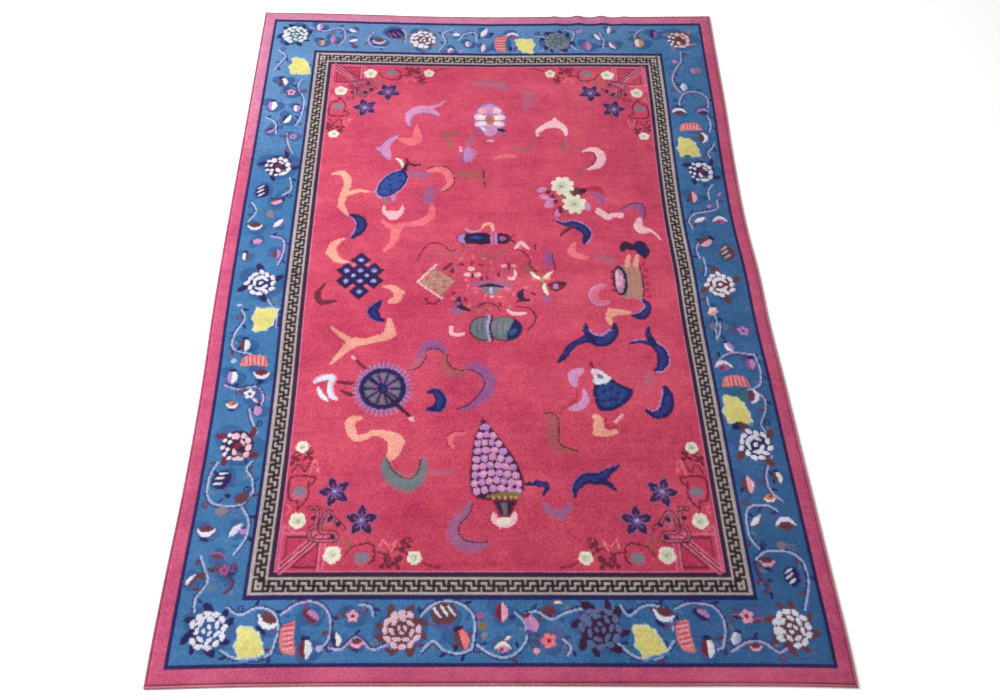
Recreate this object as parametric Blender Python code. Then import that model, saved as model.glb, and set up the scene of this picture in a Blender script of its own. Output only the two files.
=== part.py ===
"""A hand-knotted wool rug of the Chinese deco kind, as it lies flat on a floor.

Pieces: the woven carpet with its pile, an overcast cord down each long side, and an overcast
cord along each end. The frame is in metres, +Z up, +X to the right and +Y to the far end, with
the origin under the middle of the rug on the floor.

Every place is worked out first on the rug as it was woven, a true rectangle, and then moved by
lie(), which holds how this rug has settled: waisted sides, a drawn-in far end and a few ripples.
"""
import math

import bmesh
import bpy
import numpy as np

# Driving sizes, in metres
WIDTH = 1.83
LENGTH = 2.60
PILE_HEIGHT = 0.010
SIDE_CORD = 0.008
END_CORD = 0.008
GAP = 0.0004

# How far the outline has drawn in from the woven rectangle, in millimetres. Places are in millimetres
# from the middle of the rug.
SIDE_DRAWN_IN = (
    # place along the length, left side, right side
    (-1300, 0, 0),
    (-1200, 0, 0),
    (-1000, 4, 5),
    (-800, 10, 10),
    (-600, 12, 15),
    (-400, 10, 20),
    (-200, 4, 27),
    (0, 1, 27),
    (200, 0, 35),
    (500, 0, 30),
    (800, 0, 17),
    (1000, 0, 12),
    (1300, 0, 3),
)
END_DRAWN_IN = (
    # place across the width, near end, far end
    (-915, 0, 0),
    (-700, 5, 3),
    (-500, 7, 8),
    (-300, 7, 15),
    (-100, 7, 18),
    (0, 7, 18),
    (200, 6, 14),
    (400, 5, 10),
    (600, 5, 8),
    (800, 3, 3),
    (915, 0, 0),
)

# Ripples in the far end, right of its middle
RIPPLES_FROM = 0.24
RIPPLES_TO = 0.58
RIPPLE_PITCH = 0.10
RIPPLE_IN = 0.0035
RIPPLE_RISE = 0.0030
RIPPLE_REACH = 0.07

# Low cockles over the whole rug, and two old fold lines that run along it
COCKLE = 0.0008
COCKLE_ACROSS = (7.1, 2.0)
COCKLE_ALONG = (-1.7, 5.3)
FOLD_DEPTH = 0.0010
FOLD_WIDTH = 0.03
FOLDS_AT = (-0.48, 0.0)

# Steps of the pile's surface
COLUMN_STEP = 0.048
ROW_STEP = 0.10
FINE_STEP = 0.02
ROUNDED_RIM = ((0.0, 0.62), (0.004, 0.90), (0.014, 1.0))

# Overcast lumps of the end cords
LUMP_STEP = 0.018
SLIM_BY = 0.06
LUMP_WAVES = (
    # share of the radius, turns of the wave at each step, in radians
    (0.036, 2.3),
    (0.024, 5.1),
)
TAPER_AT_CORNER = 0.7
CORD_SIDES = 2

CARPET_ROSE = (0.62, 0.07, 0.15, 1.0)
CORD_ROSE = (0.42, 0.06, 0.12, 1.0)
MILLIMETRE = 0.001


def eased(table, column, place):
    """A smooth curve through one column of a table, at a place in metres."""
    at = np.array([row[0] for row in table]) * MILLIMETRE
    value = np.array([row[column] for row in table]) * MILLIMETRE
    slope = np.gradient(value, at)
    i = int(np.clip(np.searchsorted(at, place) - 1, 0, len(at) - 2))
    run = at[i + 1] - at[i]
    t = min(max((place - at[i]) / run, 0.0), 1.0)
    start = (2 * t**3 - 3 * t**2 + 1) * value[i] + (t**3 - 2 * t**2 + t) * run * slope[i]
    end = (3 * t**2 - 2 * t**3) * value[i + 1] + (t**3 - t**2) * run * slope[i + 1]
    return float(start + end)


def ripple(x, y):
    """From -1 to 1: the wave that runs in from the far end and dies away."""
    if not RIPPLES_FROM < x < RIPPLES_TO:
        return 0.0
    across = (x - RIPPLES_FROM) / (RIPPLES_TO - RIPPLES_FROM)
    wave = math.sin(2 * math.pi * (x - RIPPLES_FROM) / RIPPLE_PITCH)
    inside = max(LENGTH / 2 - END_CORD - GAP - y, 0.0)
    return wave * math.sin(math.pi * across) ** 0.5 * math.exp(-inside / RIPPLE_REACH)


def lie(x, y):
    """Where a point of the woven rectangle lies on the floor."""
    side = eased(SIDE_DRAWN_IN, 2 if x > 0 else 1, y)
    end = eased(END_DRAWN_IN, 2 if y > 0 else 1, x)
    new_x = x - x / (WIDTH / 2) * side
    new_y = y - math.copysign(1, y) * (abs(y) / (LENGTH / 2)) ** 2 * end
    return new_x, new_y + RIPPLE_IN * ripple(x, y)


def height(x, y):
    """The height of the pile's tips above the floor, away from the rim."""
    cockle = math.sin(COCKLE_ACROSS[0] * x + COCKLE_ACROSS[1] * y)
    cockle *= math.sin(COCKLE_ALONG[0] * x + COCKLE_ALONG[1] * y)
    fold = sum(math.exp(-(((x - at) / FOLD_WIDTH) ** 2)) for at in FOLDS_AT)
    rise = RIPPLE_RISE * ripple(x, y)
    return PILE_HEIGHT + COCKLE * cockle - FOLD_DEPTH * fold + max(rise, -COCKLE)


def stations(half, step, fine_from=None, fine_to=None):
    """Places from one edge of the pile to the other, closer together at the rim and in the ripples."""
    inner = half - ROUNDED_RIM[-1][0]
    count = round(2 * inner / step)
    places = [-inner + 2 * inner * i / count for i in range(count + 1)]
    if fine_from is not None:
        fine_count = round((fine_to - fine_from) / FINE_STEP)
        fine = [fine_from + (fine_to - fine_from) * i / fine_count for i in range(fine_count + 1)]
        places = [p for p in places if not fine_from - step / 2 < p < fine_to + step / 2] + fine
    rim = [half - inset for inset, share in ROUNDED_RIM[:-1]]
    return sorted(places + rim + [-p for p in rim])


PILE_HALF_WIDTH = WIDTH / 2 - SIDE_CORD - GAP
PILE_HALF_LENGTH = LENGTH / 2 - END_CORD - GAP
COLUMNS = stations(PILE_HALF_WIDTH, COLUMN_STEP, RIPPLES_FROM, RIPPLES_TO)
ROWS = stations(PILE_HALF_LENGTH, ROW_STEP, PILE_HALF_LENGTH - 3 * RIPPLE_REACH, PILE_HALF_LENGTH - FINE_STEP)


def rim_share(x, y):
    """How much of its height the pile keeps at the rounded rim."""
    inset = min(PILE_HALF_WIDTH - abs(x), PILE_HALF_LENGTH - abs(y))
    return float(np.interp(inset, [row[0] for row in ROUNDED_RIM], [row[1] for row in ROUNDED_RIM]))


def wool(name, colour):
    """Matt dyed wool."""
    material = bpy.data.materials.new(name)
    material.use_nodes = True
    shader = material.node_tree.nodes["Principled BSDF"]
    shader.inputs["Base Color"].default_value = colour
    shader.inputs["Roughness"].default_value = 0.9
    shader.inputs["Metallic"].default_value = 0.0
    material.diffuse_color = colour
    return material


def place_in(collection, name, data, material):
    """A named object that holds data, in its collection."""
    piece = bpy.data.objects.new(name, data)
    data.materials.append(material)
    collection.objects.link(piece)
    return piece


def carpet_mesh():
    """The woven carpet: an uneven top of pile tips, a rounded rim and a flat back on the floor."""
    bm = bmesh.new()
    across = len(COLUMNS) - 1
    along = len(ROWS) - 1
    bmesh.ops.create_grid(bm, x_segments=across, y_segments=along, size=0.5)
    for vert in bm.verts:
        x = COLUMNS[round((vert.co.x + 0.5) * across)]
        y = ROWS[round((vert.co.y + 0.5) * along)]
        vert.co.x, vert.co.y = lie(x, y)
        vert.co.z = height(x, y) * rim_share(x, y)
    top = bm.faces[:]
    made = bmesh.ops.extrude_face_region(bm, geom=top)["geom"]
    back_verts = [g for g in made if isinstance(g, bmesh.types.BMVert)]
    back_faces = [g for g in made if isinstance(g, bmesh.types.BMFace)]
    for vert in back_verts:
        vert.co.z = 0.0
    bmesh.ops.dissolve_faces(bm, faces=back_faces, use_verts=False)
    bmesh.ops.recalc_face_normals(bm, faces=bm.faces)
    mesh = bpy.data.meshes.new("rug_pile")
    bm.to_mesh(mesh)
    bm.free()
    mesh.shade_smooth()
    mesh.set_sharp_from_angle(angle=math.radians(50))
    return mesh


def side_route(side):
    """The middle line of a side cord, beside the pile's own edge points. side is -1 left, 1 right."""
    x = side * (WIDTH / 2 - SIDE_CORD / 2)
    last = LENGTH / 2 - END_CORD / 2
    rows = [-last] + [y for y in ROWS if abs(y) < PILE_HALF_LENGTH] + [last]
    return [lie(x, y) for y in rows]


def end_route(end):
    """The middle line of an end cord, which keeps to the chords of the pile's edge. end is -1 near, 1 far."""
    y = end * (LENGTH / 2 - END_CORD / 2)
    edge = [lie(x, y) for x in COLUMNS]
    route = [edge[0]]
    for (x0, y0), (x1, y1) in zip(edge, edge[1:]):
        count = max(round((x1 - x0) / LUMP_STEP), 1)
        route += [(x0 + (x1 - x0) * k / count, y0 + (y1 - y0) * k / count) for k in range(1, count + 1)]
    return route


def lump(i):
    """The uneven swelling of the overcast wool at point i of an end cord, never above 1."""
    return 1.0 - SLIM_BY + sum(share * math.sin(turn * i) for share, turn in LUMP_WAVES)


def cord(name, route, thickness, radii):
    """An overcast cord: a tube along its route, resting on the floor."""
    curve = bpy.data.curves.new(name, "CURVE")
    curve.dimensions = "3D"
    curve.bevel_depth = thickness / 2
    curve.bevel_resolution = CORD_SIDES
    curve.use_fill_caps = True
    spline = curve.splines.new("POLY")
    spline.points.add(len(route) - 1)
    for point, (x, y), radius in zip(spline.points, route, radii):
        point.co = (x, y, thickness / 2, 1.0)
        point.radius = radius
    return curve


def side_cord(collection, name, side, material):
    """One selvedge cord, a little thinner where it turns the corner."""
    route = side_route(side)
    radii = [TAPER_AT_CORNER] + [1.0] * (len(route) - 2) + [TAPER_AT_CORNER]
    return place_in(collection, name, cord(name, route, SIDE_CORD, radii), material)


def end_cord(collection, name, end, material):
    """One overcast end, between the two side cords."""
    route = end_route(end)
    radii = [lump(i) for i in range(len(route))]
    return place_in(collection, name, cord(name, route, END_CORD, radii), material)


def main():
    for old in list(bpy.data.objects):
        bpy.data.objects.remove(old)
    rug = bpy.data.collections.new("chinese_deco_rug")
    bpy.context.scene.collection.children.link(rug)
    carpet_wool = wool("carpet_wool", CARPET_ROSE)
    cord_wool = wool("cord_wool", CORD_ROSE)
    place_in(rug, "rug_pile", carpet_mesh(), carpet_wool)
    side_cord(rug, "side_cord_left", -1, cord_wool)
    side_cord(rug, "side_cord_right", 1, cord_wool)
    end_cord(rug, "end_cord_near", -1, cord_wool)
    end_cord(rug, "end_cord_far", 1, cord_wool)


main()
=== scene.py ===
"""The looks of a hand-knotted Chinese deco rug, knot by knot.

The weaver's chart is drawn first, in centimetres from the middle of the rug. Every knot of it then
becomes one tuft of the pile, which lies in the six windings of the loom, on a woven back, between
overcast side and end cords.
"""
import math

import bmesh
import bpy
import numpy as np
from mathutils import Matrix, Vector


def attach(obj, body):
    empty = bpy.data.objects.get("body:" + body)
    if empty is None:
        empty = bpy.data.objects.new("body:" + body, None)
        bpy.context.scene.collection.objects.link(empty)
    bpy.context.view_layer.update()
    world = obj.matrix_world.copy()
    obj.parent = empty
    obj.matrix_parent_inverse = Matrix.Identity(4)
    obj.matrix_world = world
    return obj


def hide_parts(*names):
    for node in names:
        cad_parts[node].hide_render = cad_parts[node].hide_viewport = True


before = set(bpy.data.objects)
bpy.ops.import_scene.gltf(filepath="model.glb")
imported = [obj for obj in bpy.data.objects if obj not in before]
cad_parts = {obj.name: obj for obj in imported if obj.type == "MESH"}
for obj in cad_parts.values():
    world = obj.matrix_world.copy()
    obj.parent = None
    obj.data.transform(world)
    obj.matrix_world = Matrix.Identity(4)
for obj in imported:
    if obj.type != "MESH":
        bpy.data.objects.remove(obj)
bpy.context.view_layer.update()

# Driving sizes of the rug, in metres
WIDTH = 1.83
LENGTH = 2.60
PILE_HEIGHT = 0.010
CORD = 0.008
GAP = 0.0004
KNOTS_ACROSS = 536
KNOTS_ALONG = 762
WINDINGS = 6

# The same in centimetres, for the chart. THIN is a line one knot wide
CM = 100.0
HALF_W = WIDTH / 2 * CM
HALF_L = LENGTH / 2 * CM
PILE_W = (WIDTH - 2 * CORD - 2 * GAP) * CM
PILE_L = (LENGTH - 2 * CORD - 2 * GAP) * CM
KNOT = PILE_W / KNOTS_ACROSS
THIN = 0.37
OVAL_POINTS = 12
FRAY_SEED = 3
STRAY_SEED = 5
# seed of the scatter of paler and deeper wool that paints light and shade
PAINTED_LIGHT_SEED = 8

# Bands, as distances in from the edge of the rug, in centimetres
BANDS = (
    # starts at from a side, from the near end, from the far end, yarn
    (0, 0, 0, "border_rose"),
    (4.6, 4.6, 4.8, "navy"),
    (5.5, 5.5, 6.2, "blue"),
    (22, 21.85, 23, "navy"),
    (23.15, 23.15, 24.15, "fret_ivory"),
    (28.4, 27.8, 29.3, "plum"),
    (29.6, 29.2, 30.6, "pinstripe"),
    (30, 29.6, 31, "rose"),
)

# Dyed wools, as red, green and blue from 0 to 255
YARNS = dict(
    rose=(212, 71, 103),
    crimson=(186, 40, 70),
    pale_rose=(236, 128, 150),
    pinstripe=(214, 120, 165),
    border_rose=(204, 84, 124),
    blue=(58, 116, 170),
    blue_shade=(44, 94, 150),
    ink=(28, 44, 108),
    sky=(168, 184, 222),
    deep_blue=(38, 84, 146),
    navy=(16, 22, 88),
    plum=(52, 14, 56),
    wine=(116, 30, 56),
    brown=(100, 56, 66),
    olive=(134, 108, 66),
    moss=(222, 220, 128),
    ivory=(240, 230, 212),
    white=(226, 226, 242),
    pink=(240, 166, 192),
    peach=(246, 166, 150),
    coral=(224, 126, 116),
    orange=(216, 124, 92),
    lilac=(186, 132, 194),
    mauve=(158, 86, 148),
    grey=(132, 122, 138),
    silver=(192, 188, 210),
    fret_dark=(24, 16, 20),
    fret_ivory=(184, 170, 170),
    tan=(194, 152, 112),
    teal=(48, 108, 118),
    salmon=(240, 116, 128),
    blush=(252, 190, 204),
    peony_pink=(232, 190, 208),
    orchid=(212, 144, 192),
    cerise=(222, 106, 142),
    royal=(44, 76, 160),
    dusk=(190, 94, 124),
    thistle=(166, 96, 142),
    bark=(180, 88, 92),
    mist=(112, 124, 132),
    peach_faded=(228, 112, 118),
    lavender=(178, 170, 214),
    steel=(88, 108, 156),
    deep_rose=(196, 58, 90),
    celadon=(214, 214, 192),
    moss_grey=(178, 172, 132),
    tan_rose=(192, 130, 122),
    rose_deep=(200, 63, 93),
    blue_deep=(46, 98, 150),
    blue_pale=(92, 138, 188),
    border_pale=(206, 126, 162),
    royal_shade=(36, 50, 128),
    prussian=(18, 62, 128),
    fret_shadow=(104, 90, 86),
    moss_warm=(232, 206, 132),
    indigo=(70, 32, 96),
    violet=(112, 88, 154),
    haze=(94, 80, 142),
    slate=(112, 98, 120),
)
DYES = list(YARNS)


# Chart drawing


class Chart:
    """The weaver's chart: one yarn for each knot, row by row from the near end."""

    def __init__(self):
        self.x = (np.arange(KNOTS_ACROSS) + 0.5) / KNOTS_ACROSS * PILE_W - PILE_W / 2
        self.y = (np.arange(KNOTS_ALONG) + 0.5) / KNOTS_ALONG * PILE_L - PILE_L / 2
        self.yarn = np.zeros((KNOTS_ALONG, KNOTS_ACROSS), dtype=np.int16)
        self.bare = None
        self.sparse = None

    def window(self, points, margin):
        """The knots round some points: their rows, columns and places."""
        low = np.min(points, axis=0) - margin
        high = np.max(points, axis=0) + margin
        cols = slice(np.searchsorted(self.x, low[0]), np.searchsorted(self.x, high[0]))
        rows = slice(np.searchsorted(self.y, low[1]), np.searchsorted(self.y, high[1]))
        x, y = np.meshgrid(self.x[cols], self.y[rows])
        return rows, cols, x, y

    def tie(self, rows, cols, inside, yarn):
        """Ties one yarn inside. bare keeps it to one ground yarn, and sparse to a scatter of knots."""
        if self.bare:
            inside = inside & (self.yarn[rows, cols] == DYES.index(self.bare))
        if self.sparse is not None:
            inside = inside & self.sparse[rows, cols]
        self.yarn[rows, cols][inside] = DYES.index(yarn)


def at_angle(out, turn, x=0.0, y=0.0):
    """The place at a distance from a point, in a direction in degrees."""
    angle = math.radians(turn)
    return x + out * math.cos(angle), y + out * math.sin(angle)


def flow(t, first, first_lean, last, last_lean):
    """A smooth run from one value to the next, with its lean at both, for t from 0 to 1."""
    run = (2 * t**3 - 3 * t**2 + 1) * first + (t**3 - 2 * t**2 + t) * first_lean
    return run + (3 * t**2 - 2 * t**3) * last + (t**3 - t**2) * last_lean


def smooth(points, closed=False, steps=7):
    """A flowing line through the points."""
    p = np.array(points, dtype=float)
    if len(p) < 3:
        t = np.linspace(0, 1, steps + 1)[:, None]
        return p[0] * (1 - t) + p[-1] * t
    before = np.roll(p, 1, axis=0)
    after = np.roll(p, -1, axis=0)
    if not closed:
        before[0] = p[0]
        after[-1] = p[-1]
    lean = (after - before) / 2
    t = (np.arange(steps) / steps)[:, None]
    runs = []
    for i in range(len(p) if closed else len(p) - 1):
        j = (i + 1) % len(p)
        runs.append(flow(t, p[i], lean[i], p[j], lean[j]))
    if not closed:
        runs.append(p[-1:])
    return np.concatenate(runs)


def inside_outline(outline, x, y):
    """True for the places inside a closed outline."""
    inside = np.zeros(x.shape, dtype=bool)
    for (x0, y0), (x1, y1) in zip(outline, np.roll(outline, -1, axis=0)):
        if y0 == y1:
            continue
        crosses = (y0 > y) != (y1 > y)
        inside ^= crosses & (x < (x1 - x0) * (y - y0) / (y1 - y0) + x0)
    return inside


class Pen:
    """Draws in a motif's own frame: its middle, its size and its turn in degrees."""

    def __init__(self, chart, x, y, size=1.0, turn=0.0):
        self.chart = chart
        self.middle = np.array([x, y], dtype=float)
        self.across = np.array(at_angle(1.0, turn)) * size
        self.along = np.array([-math.sin(math.radians(turn)), math.cos(math.radians(turn))]) * abs(size)

    def to_rug(self, points):
        p = np.array(points, dtype=float)
        return self.middle + p[:, :1] * self.across + p[:, 1:] * self.along

    def stroke(self, path, widths, yarn):
        """A line on the rug whose width changes along its path."""
        rows, cols, x, y = self.chart.window(path, widths.max())
        if not x.size:
            return
        nearest = np.full(x.shape, np.inf)
        for (x0, y0), (x1, y1), w in zip(path, path[1:], widths):
            run = max((x1 - x0) ** 2 + (y1 - y0) ** 2, 1e-9)
            t = np.clip(((x - x0) * (x1 - x0) + (y - y0) * (y1 - y0)) / run, 0, 1)
            away = np.hypot(x - x0 - t * (x1 - x0), y - y0 - t * (y1 - y0)) - w / 2
            nearest = np.minimum(nearest, away)
        self.chart.tie(rows, cols, nearest < 0, yarn)

    def line(self, points, yarn, width=THIN, end=None, closed=False, sharp=False):
        """A line of one width, or one that swells or thins towards its end."""
        path = self.to_rug(points)
        if not sharp:
            path = smooth(path, closed)
        if closed:
            path = np.concatenate([path, path[:1]])
        self.stroke(path, np.linspace(width, width if end is None else end, len(path)), yarn)

    def rays(self, count, near, far, yarn, width):
        """Straight lines outwards, like spokes."""
        for i in range(count):
            turn = 360 * i / count
            self.line([at_angle(near, turn), at_angle(far, turn)], yarn, width)

    def ribbon(self, points, yarn, line=None, side=1, beyond=0.15, line_width=0.5):
        """A band through rows of x, y and width, with a thin line along its left for 1, or right for -1."""
        run = smooth(points)
        path = self.to_rug(run[:, :2])
        widths = run[:, 2] * np.hypot(*self.along)
        self.stroke(path, widths, yarn)
        if line:
            lean = np.gradient(path, axis=0)
            lean /= np.maximum(np.hypot(lean[:, :1], lean[:, 1:]), 1e-6)
            leftwards = np.stack([-lean[:, 1], lean[:, 0]], axis=-1)
            beside = path + side * (widths[:, None] / 2 + beyond) * leftwards
            self.stroke(beside, np.full(len(beside), line_width), line)

    def shape(self, points, yarn, edge=None, sharp=False, width=THIN):
        """A filled outline, smooth or with sharp corners, with or without an edge."""
        outline = self.to_rug(points)
        if not sharp:
            outline = smooth(outline, closed=True)
        rows, cols, x, y = self.chart.window(outline, KNOT)
        if x.size and yarn:
            self.chart.tie(rows, cols, inside_outline(outline, x, y), yarn)
        if edge:
            self.line(points, edge, width, closed=True, sharp=sharp)

    def oval(self, x, y, rx, ry, yarn, turn=0.0):
        """A filled oval."""
        lean = at_angle(1.0, turn)
        ring = []
        for i in range(OVAL_POINTS):
            u, v = at_angle(1.0, 360 * i / OVAL_POINTS)
            ring.append((x + rx * u * lean[0] - ry * v * lean[1], y + rx * u * lean[1] + ry * v * lean[0]))
        self.shape(ring, yarn)

    def ovals(self, yarn, rx, ry, turn, *places):
        """The same filled oval at several places."""
        for x, y in places:
            self.oval(x, y, rx, ry, yarn, turn)

    def petals(self, count, near, far, width, yarn, start=90, x=0.0, y=0.0):
        """A ring of rounded petals."""
        for i in range(count):
            turn = start + 360 * i / count
            spot_x, spot_y = at_angle((near + far) / 2, turn, x, y)
            self.oval(spot_x, spot_y, (far - near) / 2, width / 2, yarn, turn)


def bands(chart):
    """The plain bands and lines, from the edge inwards."""
    x, y = np.meshgrid(chart.x, chart.y)
    for side, near, far, yarn in BANDS:
        inside = (np.abs(x) < HALF_W - side) & (y > near - HALF_L) & (y < HALF_L - far)
        chart.yarn[inside] = DYES.index(yarn)


# The key fret, one character for each two knots of a repeat: # is dark, . is ivory

END_FRET = (
    "##########..",
    "##......##..",
    "######..####",
    "##..##......",
    "##..########",
)
SIDE_FRET = (
    "#########..",
    "##.....##..",
    "#####..####",
    "#..##.....#",
    "#..########",
)

# Its knots: from the edge of the pile to its first row, the width of its lines, and how much further in it
# starts along the two ends
FRET_FIRST = 69
FRET_LINE = 2
FURTHER_IN_NEAR = -1
FURTHER_IN_FAR = 3


def fret_side(chart, fret, along_ends):
    """The fret along two facing sides of the rug, each half leaning away from its middle."""
    rows = np.array([[mark == "#" for mark in line] for line in fret])
    repeat = rows.shape[1]
    middle = repeat // 2
    yarn = chart.yarn if along_ends else chart.yarn.T
    deep, across = yarn.shape
    half = across // 2
    further_near, further_far = (FURTHER_IN_NEAR, FURTHER_IN_FAR) if along_ends else (0, 0)
    for row in range(FRET_LINE * len(rows)):
        dark = rows[len(rows) - 1 - row // FRET_LINE]
        inset = FRET_FIRST + row
        reach = half - inset
        step = np.arange(reach)
        marks = dark[(middle - step) % repeat]
        shaded = ~marks & dark[(middle - step - 1) % repeat]
        for line in (inset + further_near, deep - 1 - inset - further_far):
            for knots, name in ((marks, "fret_dark"), (shaded, "fret_shadow")):
                yarn[line, half + step[knots]] = DYES.index(name)
                yarn[line, half - 1 - step[knots]] = DYES.index(name)


def fret_corners(chart):
    """A hook that closes the fret in each corner."""
    side = FRET_LINE * len(END_FRET)
    for row, col in np.ndindex(side, side):
        ring = min(row, col, side - 1 - row, side - 1 - col)
        dark = ring < FRET_LINE or ring >= 2 * FRET_LINE
        opening = FRET_LINE <= col < 2 * FRET_LINE and row >= 2 * FRET_LINE
        yarn = DYES.index("fret_dark" if dark and not opening else "fret_ivory")
        inset = FRET_FIRST + row
        for r in (inset + FURTHER_IN_NEAR, KNOTS_ALONG - 1 - inset - FURTHER_IN_FAR):
            for c in (FRET_FIRST + col, KNOTS_ACROSS - 1 - FRET_FIRST - col):
                chart.yarn[r, c] = yarn


def key_fret(chart):
    fret_side(chart, END_FRET, True)
    fret_side(chart, SIDE_FRET, False)
    fret_corners(chart)


# Motifs, each in its own frame, in centimetres

VINE = 0.6
VINE_LINE = 0.45
VINE_LINE_BEYOND = 0.25


def vine(chart, points, side=1, light="sky"):
    """A scrolling stem: a light line, with a dark one on its left for 1 or on its right for -1."""
    route = [(x, y, VINE) for x, y in points]
    Pen(chart, 0, 0).ribbon(route, light, "ink", side, VINE_LINE_BEYOND, VINE_LINE)


def curl(pen, x, y, size, turn, yarn, width=0.45):
    """A tendril rolled in at its end."""
    pen.line([at_angle(size * (1.0 - 0.08 * i), turn + 44 * i, x, y) for i in range(9)], yarn, width)


PEONY_LEAVES = (
    # degrees round the flower, how far out, length, width
    (18, 5.6, 1.9, 1),
    (46, 5.8, 1.5, 0.8),
    (96, 5.6, 2.1, 1.1),
    (150, 5.7, 1.6, 0.9),
    (200, 5.6, 1.9, 1),
    (236, 5.8, 1.4, 0.8),
    (284, 5.6, 2, 1.1),
    (328, 5.8, 1.5, 0.8),
)
PEONY_RINGS = (
    # petals, how far out, half length, half width, first at, petal left out
    (12, 4.4, 1.15, 0.72, 8, 6),
    (7, 2.75, 1.1, 0.56, 30, 9),
    (3, 0.95, 0.75, 0.45, 70, 9),
)
FOLDED_PETALS = (
    # x, y, half length, half width, turn
    (-0.8, 2.6, 1.1, 0.95, 20),
    (1.3, 2.7, 0.8, 0.75, -30),
    (2.6, 1.4, 0.9, 0.75, -60),
    (1.2, 0.9, 1, 0.4, -50),
    (2.9, -0.6, 1, 0.8, 80),
    (-0.6, -1.9, 0.6, 1, 20),
    (0.6, -3.8, 1.5, 0.6, 0),
    (2.6, -2.6, 0.7, 1, -40),
)
SMALL_PETALS = ((-2.5, 2.9), (-3.5, 1.4), (-2.2, 0.9), (-3.8, -0.6), (-2.5, -1.2), (-3.1, -2.5), (-1.7, -3.6))


def leaves_round(pen, places, closer, longer, yarn, lean):
    """Pointed leaves that stand round a peony."""
    for turn, out, long, wide in places:
        pen.oval(*at_angle(out * closer, turn), long + longer, wide, yarn, turn + lean)


def peony(pen, petal, shade, leaves):
    """An open peony: pointed leaves, a shaded disc, and three rings of small curled petals."""
    leaves_round(pen, PEONY_LEAVES, 1, 0, leaves, 35)
    pen.oval(0, 0, 4.9, 4.8, shade)
    pen.oval(0.4, -0.3, 3.2, 3, "deep_blue" if shade == "navy" else shade)
    for count, out, long, wide, start, missing in PEONY_RINGS:
        for i in range(count):
            turn = start + 360 * i / count
            if i != missing:
                pen.oval(*at_angle(out, turn), long, wide, petal, turn + 90 + 24 * (i % 3 - 1))
    pen.line([(-3.2, 1.6), (-1.6, 3.2), (0.6, 3.4)], petal, 0.6)


def ring_peony(pen, petal, shade, leaves):
    """A peony seen from above: separate round petals on a dark disc, and curls inside."""
    leaves_round(pen, PEONY_LEAVES[::2], 0.95, 0, leaves, 20)
    pen.oval(0, 0, 4.3, 4.2, shade)
    for i in range(12):
        out = 3.7 + 0.35 * math.sin(2.4 * i)
        pen.oval(*at_angle(out, 30 * i), 1, 0.66, petal, 30 * i + 60 + 30 * math.sin(1.7 * i))
    pen.ribbon([(1.9, 0.9, 0.7), (0.3, 2.1, 1.3), (-1.7, 1.1, 1.1), (-1.8, -0.7, 0.7)], petal)
    pen.ribbon([(-1.2, -1.8, 0.7), (0.4, -2.1, 1.2), (1.9, -0.9, 0.8)], petal)
    pen.oval(0.1, 0, 0.75, 0.55, petal, 40)


def folded_peony(pen, petal, shade, leaves):
    """A peony half closed: small white petals beside larger folded ones, round a dark heart."""
    leaves_round(pen, PEONY_LEAVES[1::2], 0.9, 0.2, leaves, 35)
    pen.oval(0, 0, 4.3, 4.3, shade)
    for x, y, rx, ry, turn in FOLDED_PETALS:
        pen.oval(x, y, rx, ry, petal, turn)
    pen.ovals("white", 0.62, 0.52, 30, *SMALL_PETALS)
    pen.oval(0.1, 0, 1.2, 0.9, "wine", 20)
    pen.oval(0.9, -2.6, 1, 0.6, "slate", -20)


def bud(pen, left, right, tip=None):
    """A bud of two colours, split along its length, with a dark tip and a leaf beside."""
    pen.oval(-1.9, -1.5, 1.1, 0.45, "haze" if left != "brown" else "navy", 55)
    pen.shape([(0, -2.5), (-1.5, -1.1), (-1.5, 0.9), (0, 2.5)], left)
    pen.shape([(0, -2.5), (1.5, -1.1), (1.4, 0.8), (0, 2.5)], right)
    pen.line([(0.1, 1.8), (0.5, -1.4)], "ivory" if right == "white" else right, 0.4)
    if tip:
        pen.oval(0, 2.3, 1.2, 0.6, tip)


def cap(pen, dome, crescent, base=None):
    """A fungus cap: a dome over a pale crescent, with a dark base and a leaf."""
    pen.oval(3.1, -1.4, 1.2, 0.5, "haze", 40)
    pen.oval(0, 1.1, 2.2, 1.3, dome)
    pen.oval(0.7, 1.4, 1, 0.5, "wine", 20)
    curve = [(-2.9, 0.9, 0.5), (-1.5, -0.5, 1.2), (0, -0.9, 1.5), (1.5, -0.5, 1.2), (2.9, 0.9, 0.5)]
    pen.ribbon(curve, crescent)
    if base:
        pen.oval(-0.3, -2.4, 1.7, 0.6, base, -15)


def blossom(pen, petal, heart):
    """A small flower of five petals between two rolled tendrils."""
    for side, yarn in ((-1, "brown"), (1, "haze")):
        curl(pen, 3.5 * side, 0.3, 1.3, 90 - 60 * side, yarn)
        pen.oval(2.3 * side, 2.2, 0.9, 0.45, yarn, 50 * side)
    pen.petals(5, 0.2, 2, 1.5, petal)
    pen.oval(0, 0, 0.6, 0.6, heart)


def leaf(pen, body, vein="mauve"):
    """A pointed leaf, one half shaded."""
    pen.shape([(0, -2.6), (-1, -0.6), (-0.8, 1.2), (0, 2.6), (0.8, 1.2), (1, -0.6)], body)
    pen.line([(0.2, 2.4), (0.9, 0.8), (0.9, -1), (0.1, -2.5)], vein, 0.45)


def striped_leaf(pen, body, stripe):
    """A broad dark leaf with light stripes across one half and a spray of small ones below."""
    pen.shape([(-3.4, 0.4), (-1.6, 3), (1.6, 2.9), (3.4, 0.6), (2.2, -1.8), (-1.8, -2.2)], body)
    for x, y in ((-2.5, 1.7), (-0.7, 2.3), (1.1, 2.3)):
        pen.ribbon([(x, y, 0.5), (x + 0.8, y - 1.2, 0.7), (x + 1.6, y - 2.2, 0.4)], stripe)
    for x, turn in ((-2.2, -40), (-0.4, -70), (1.6, -100)):
        pen.oval(x, -2.9, 1, 0.42, "haze", turn)


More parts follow.
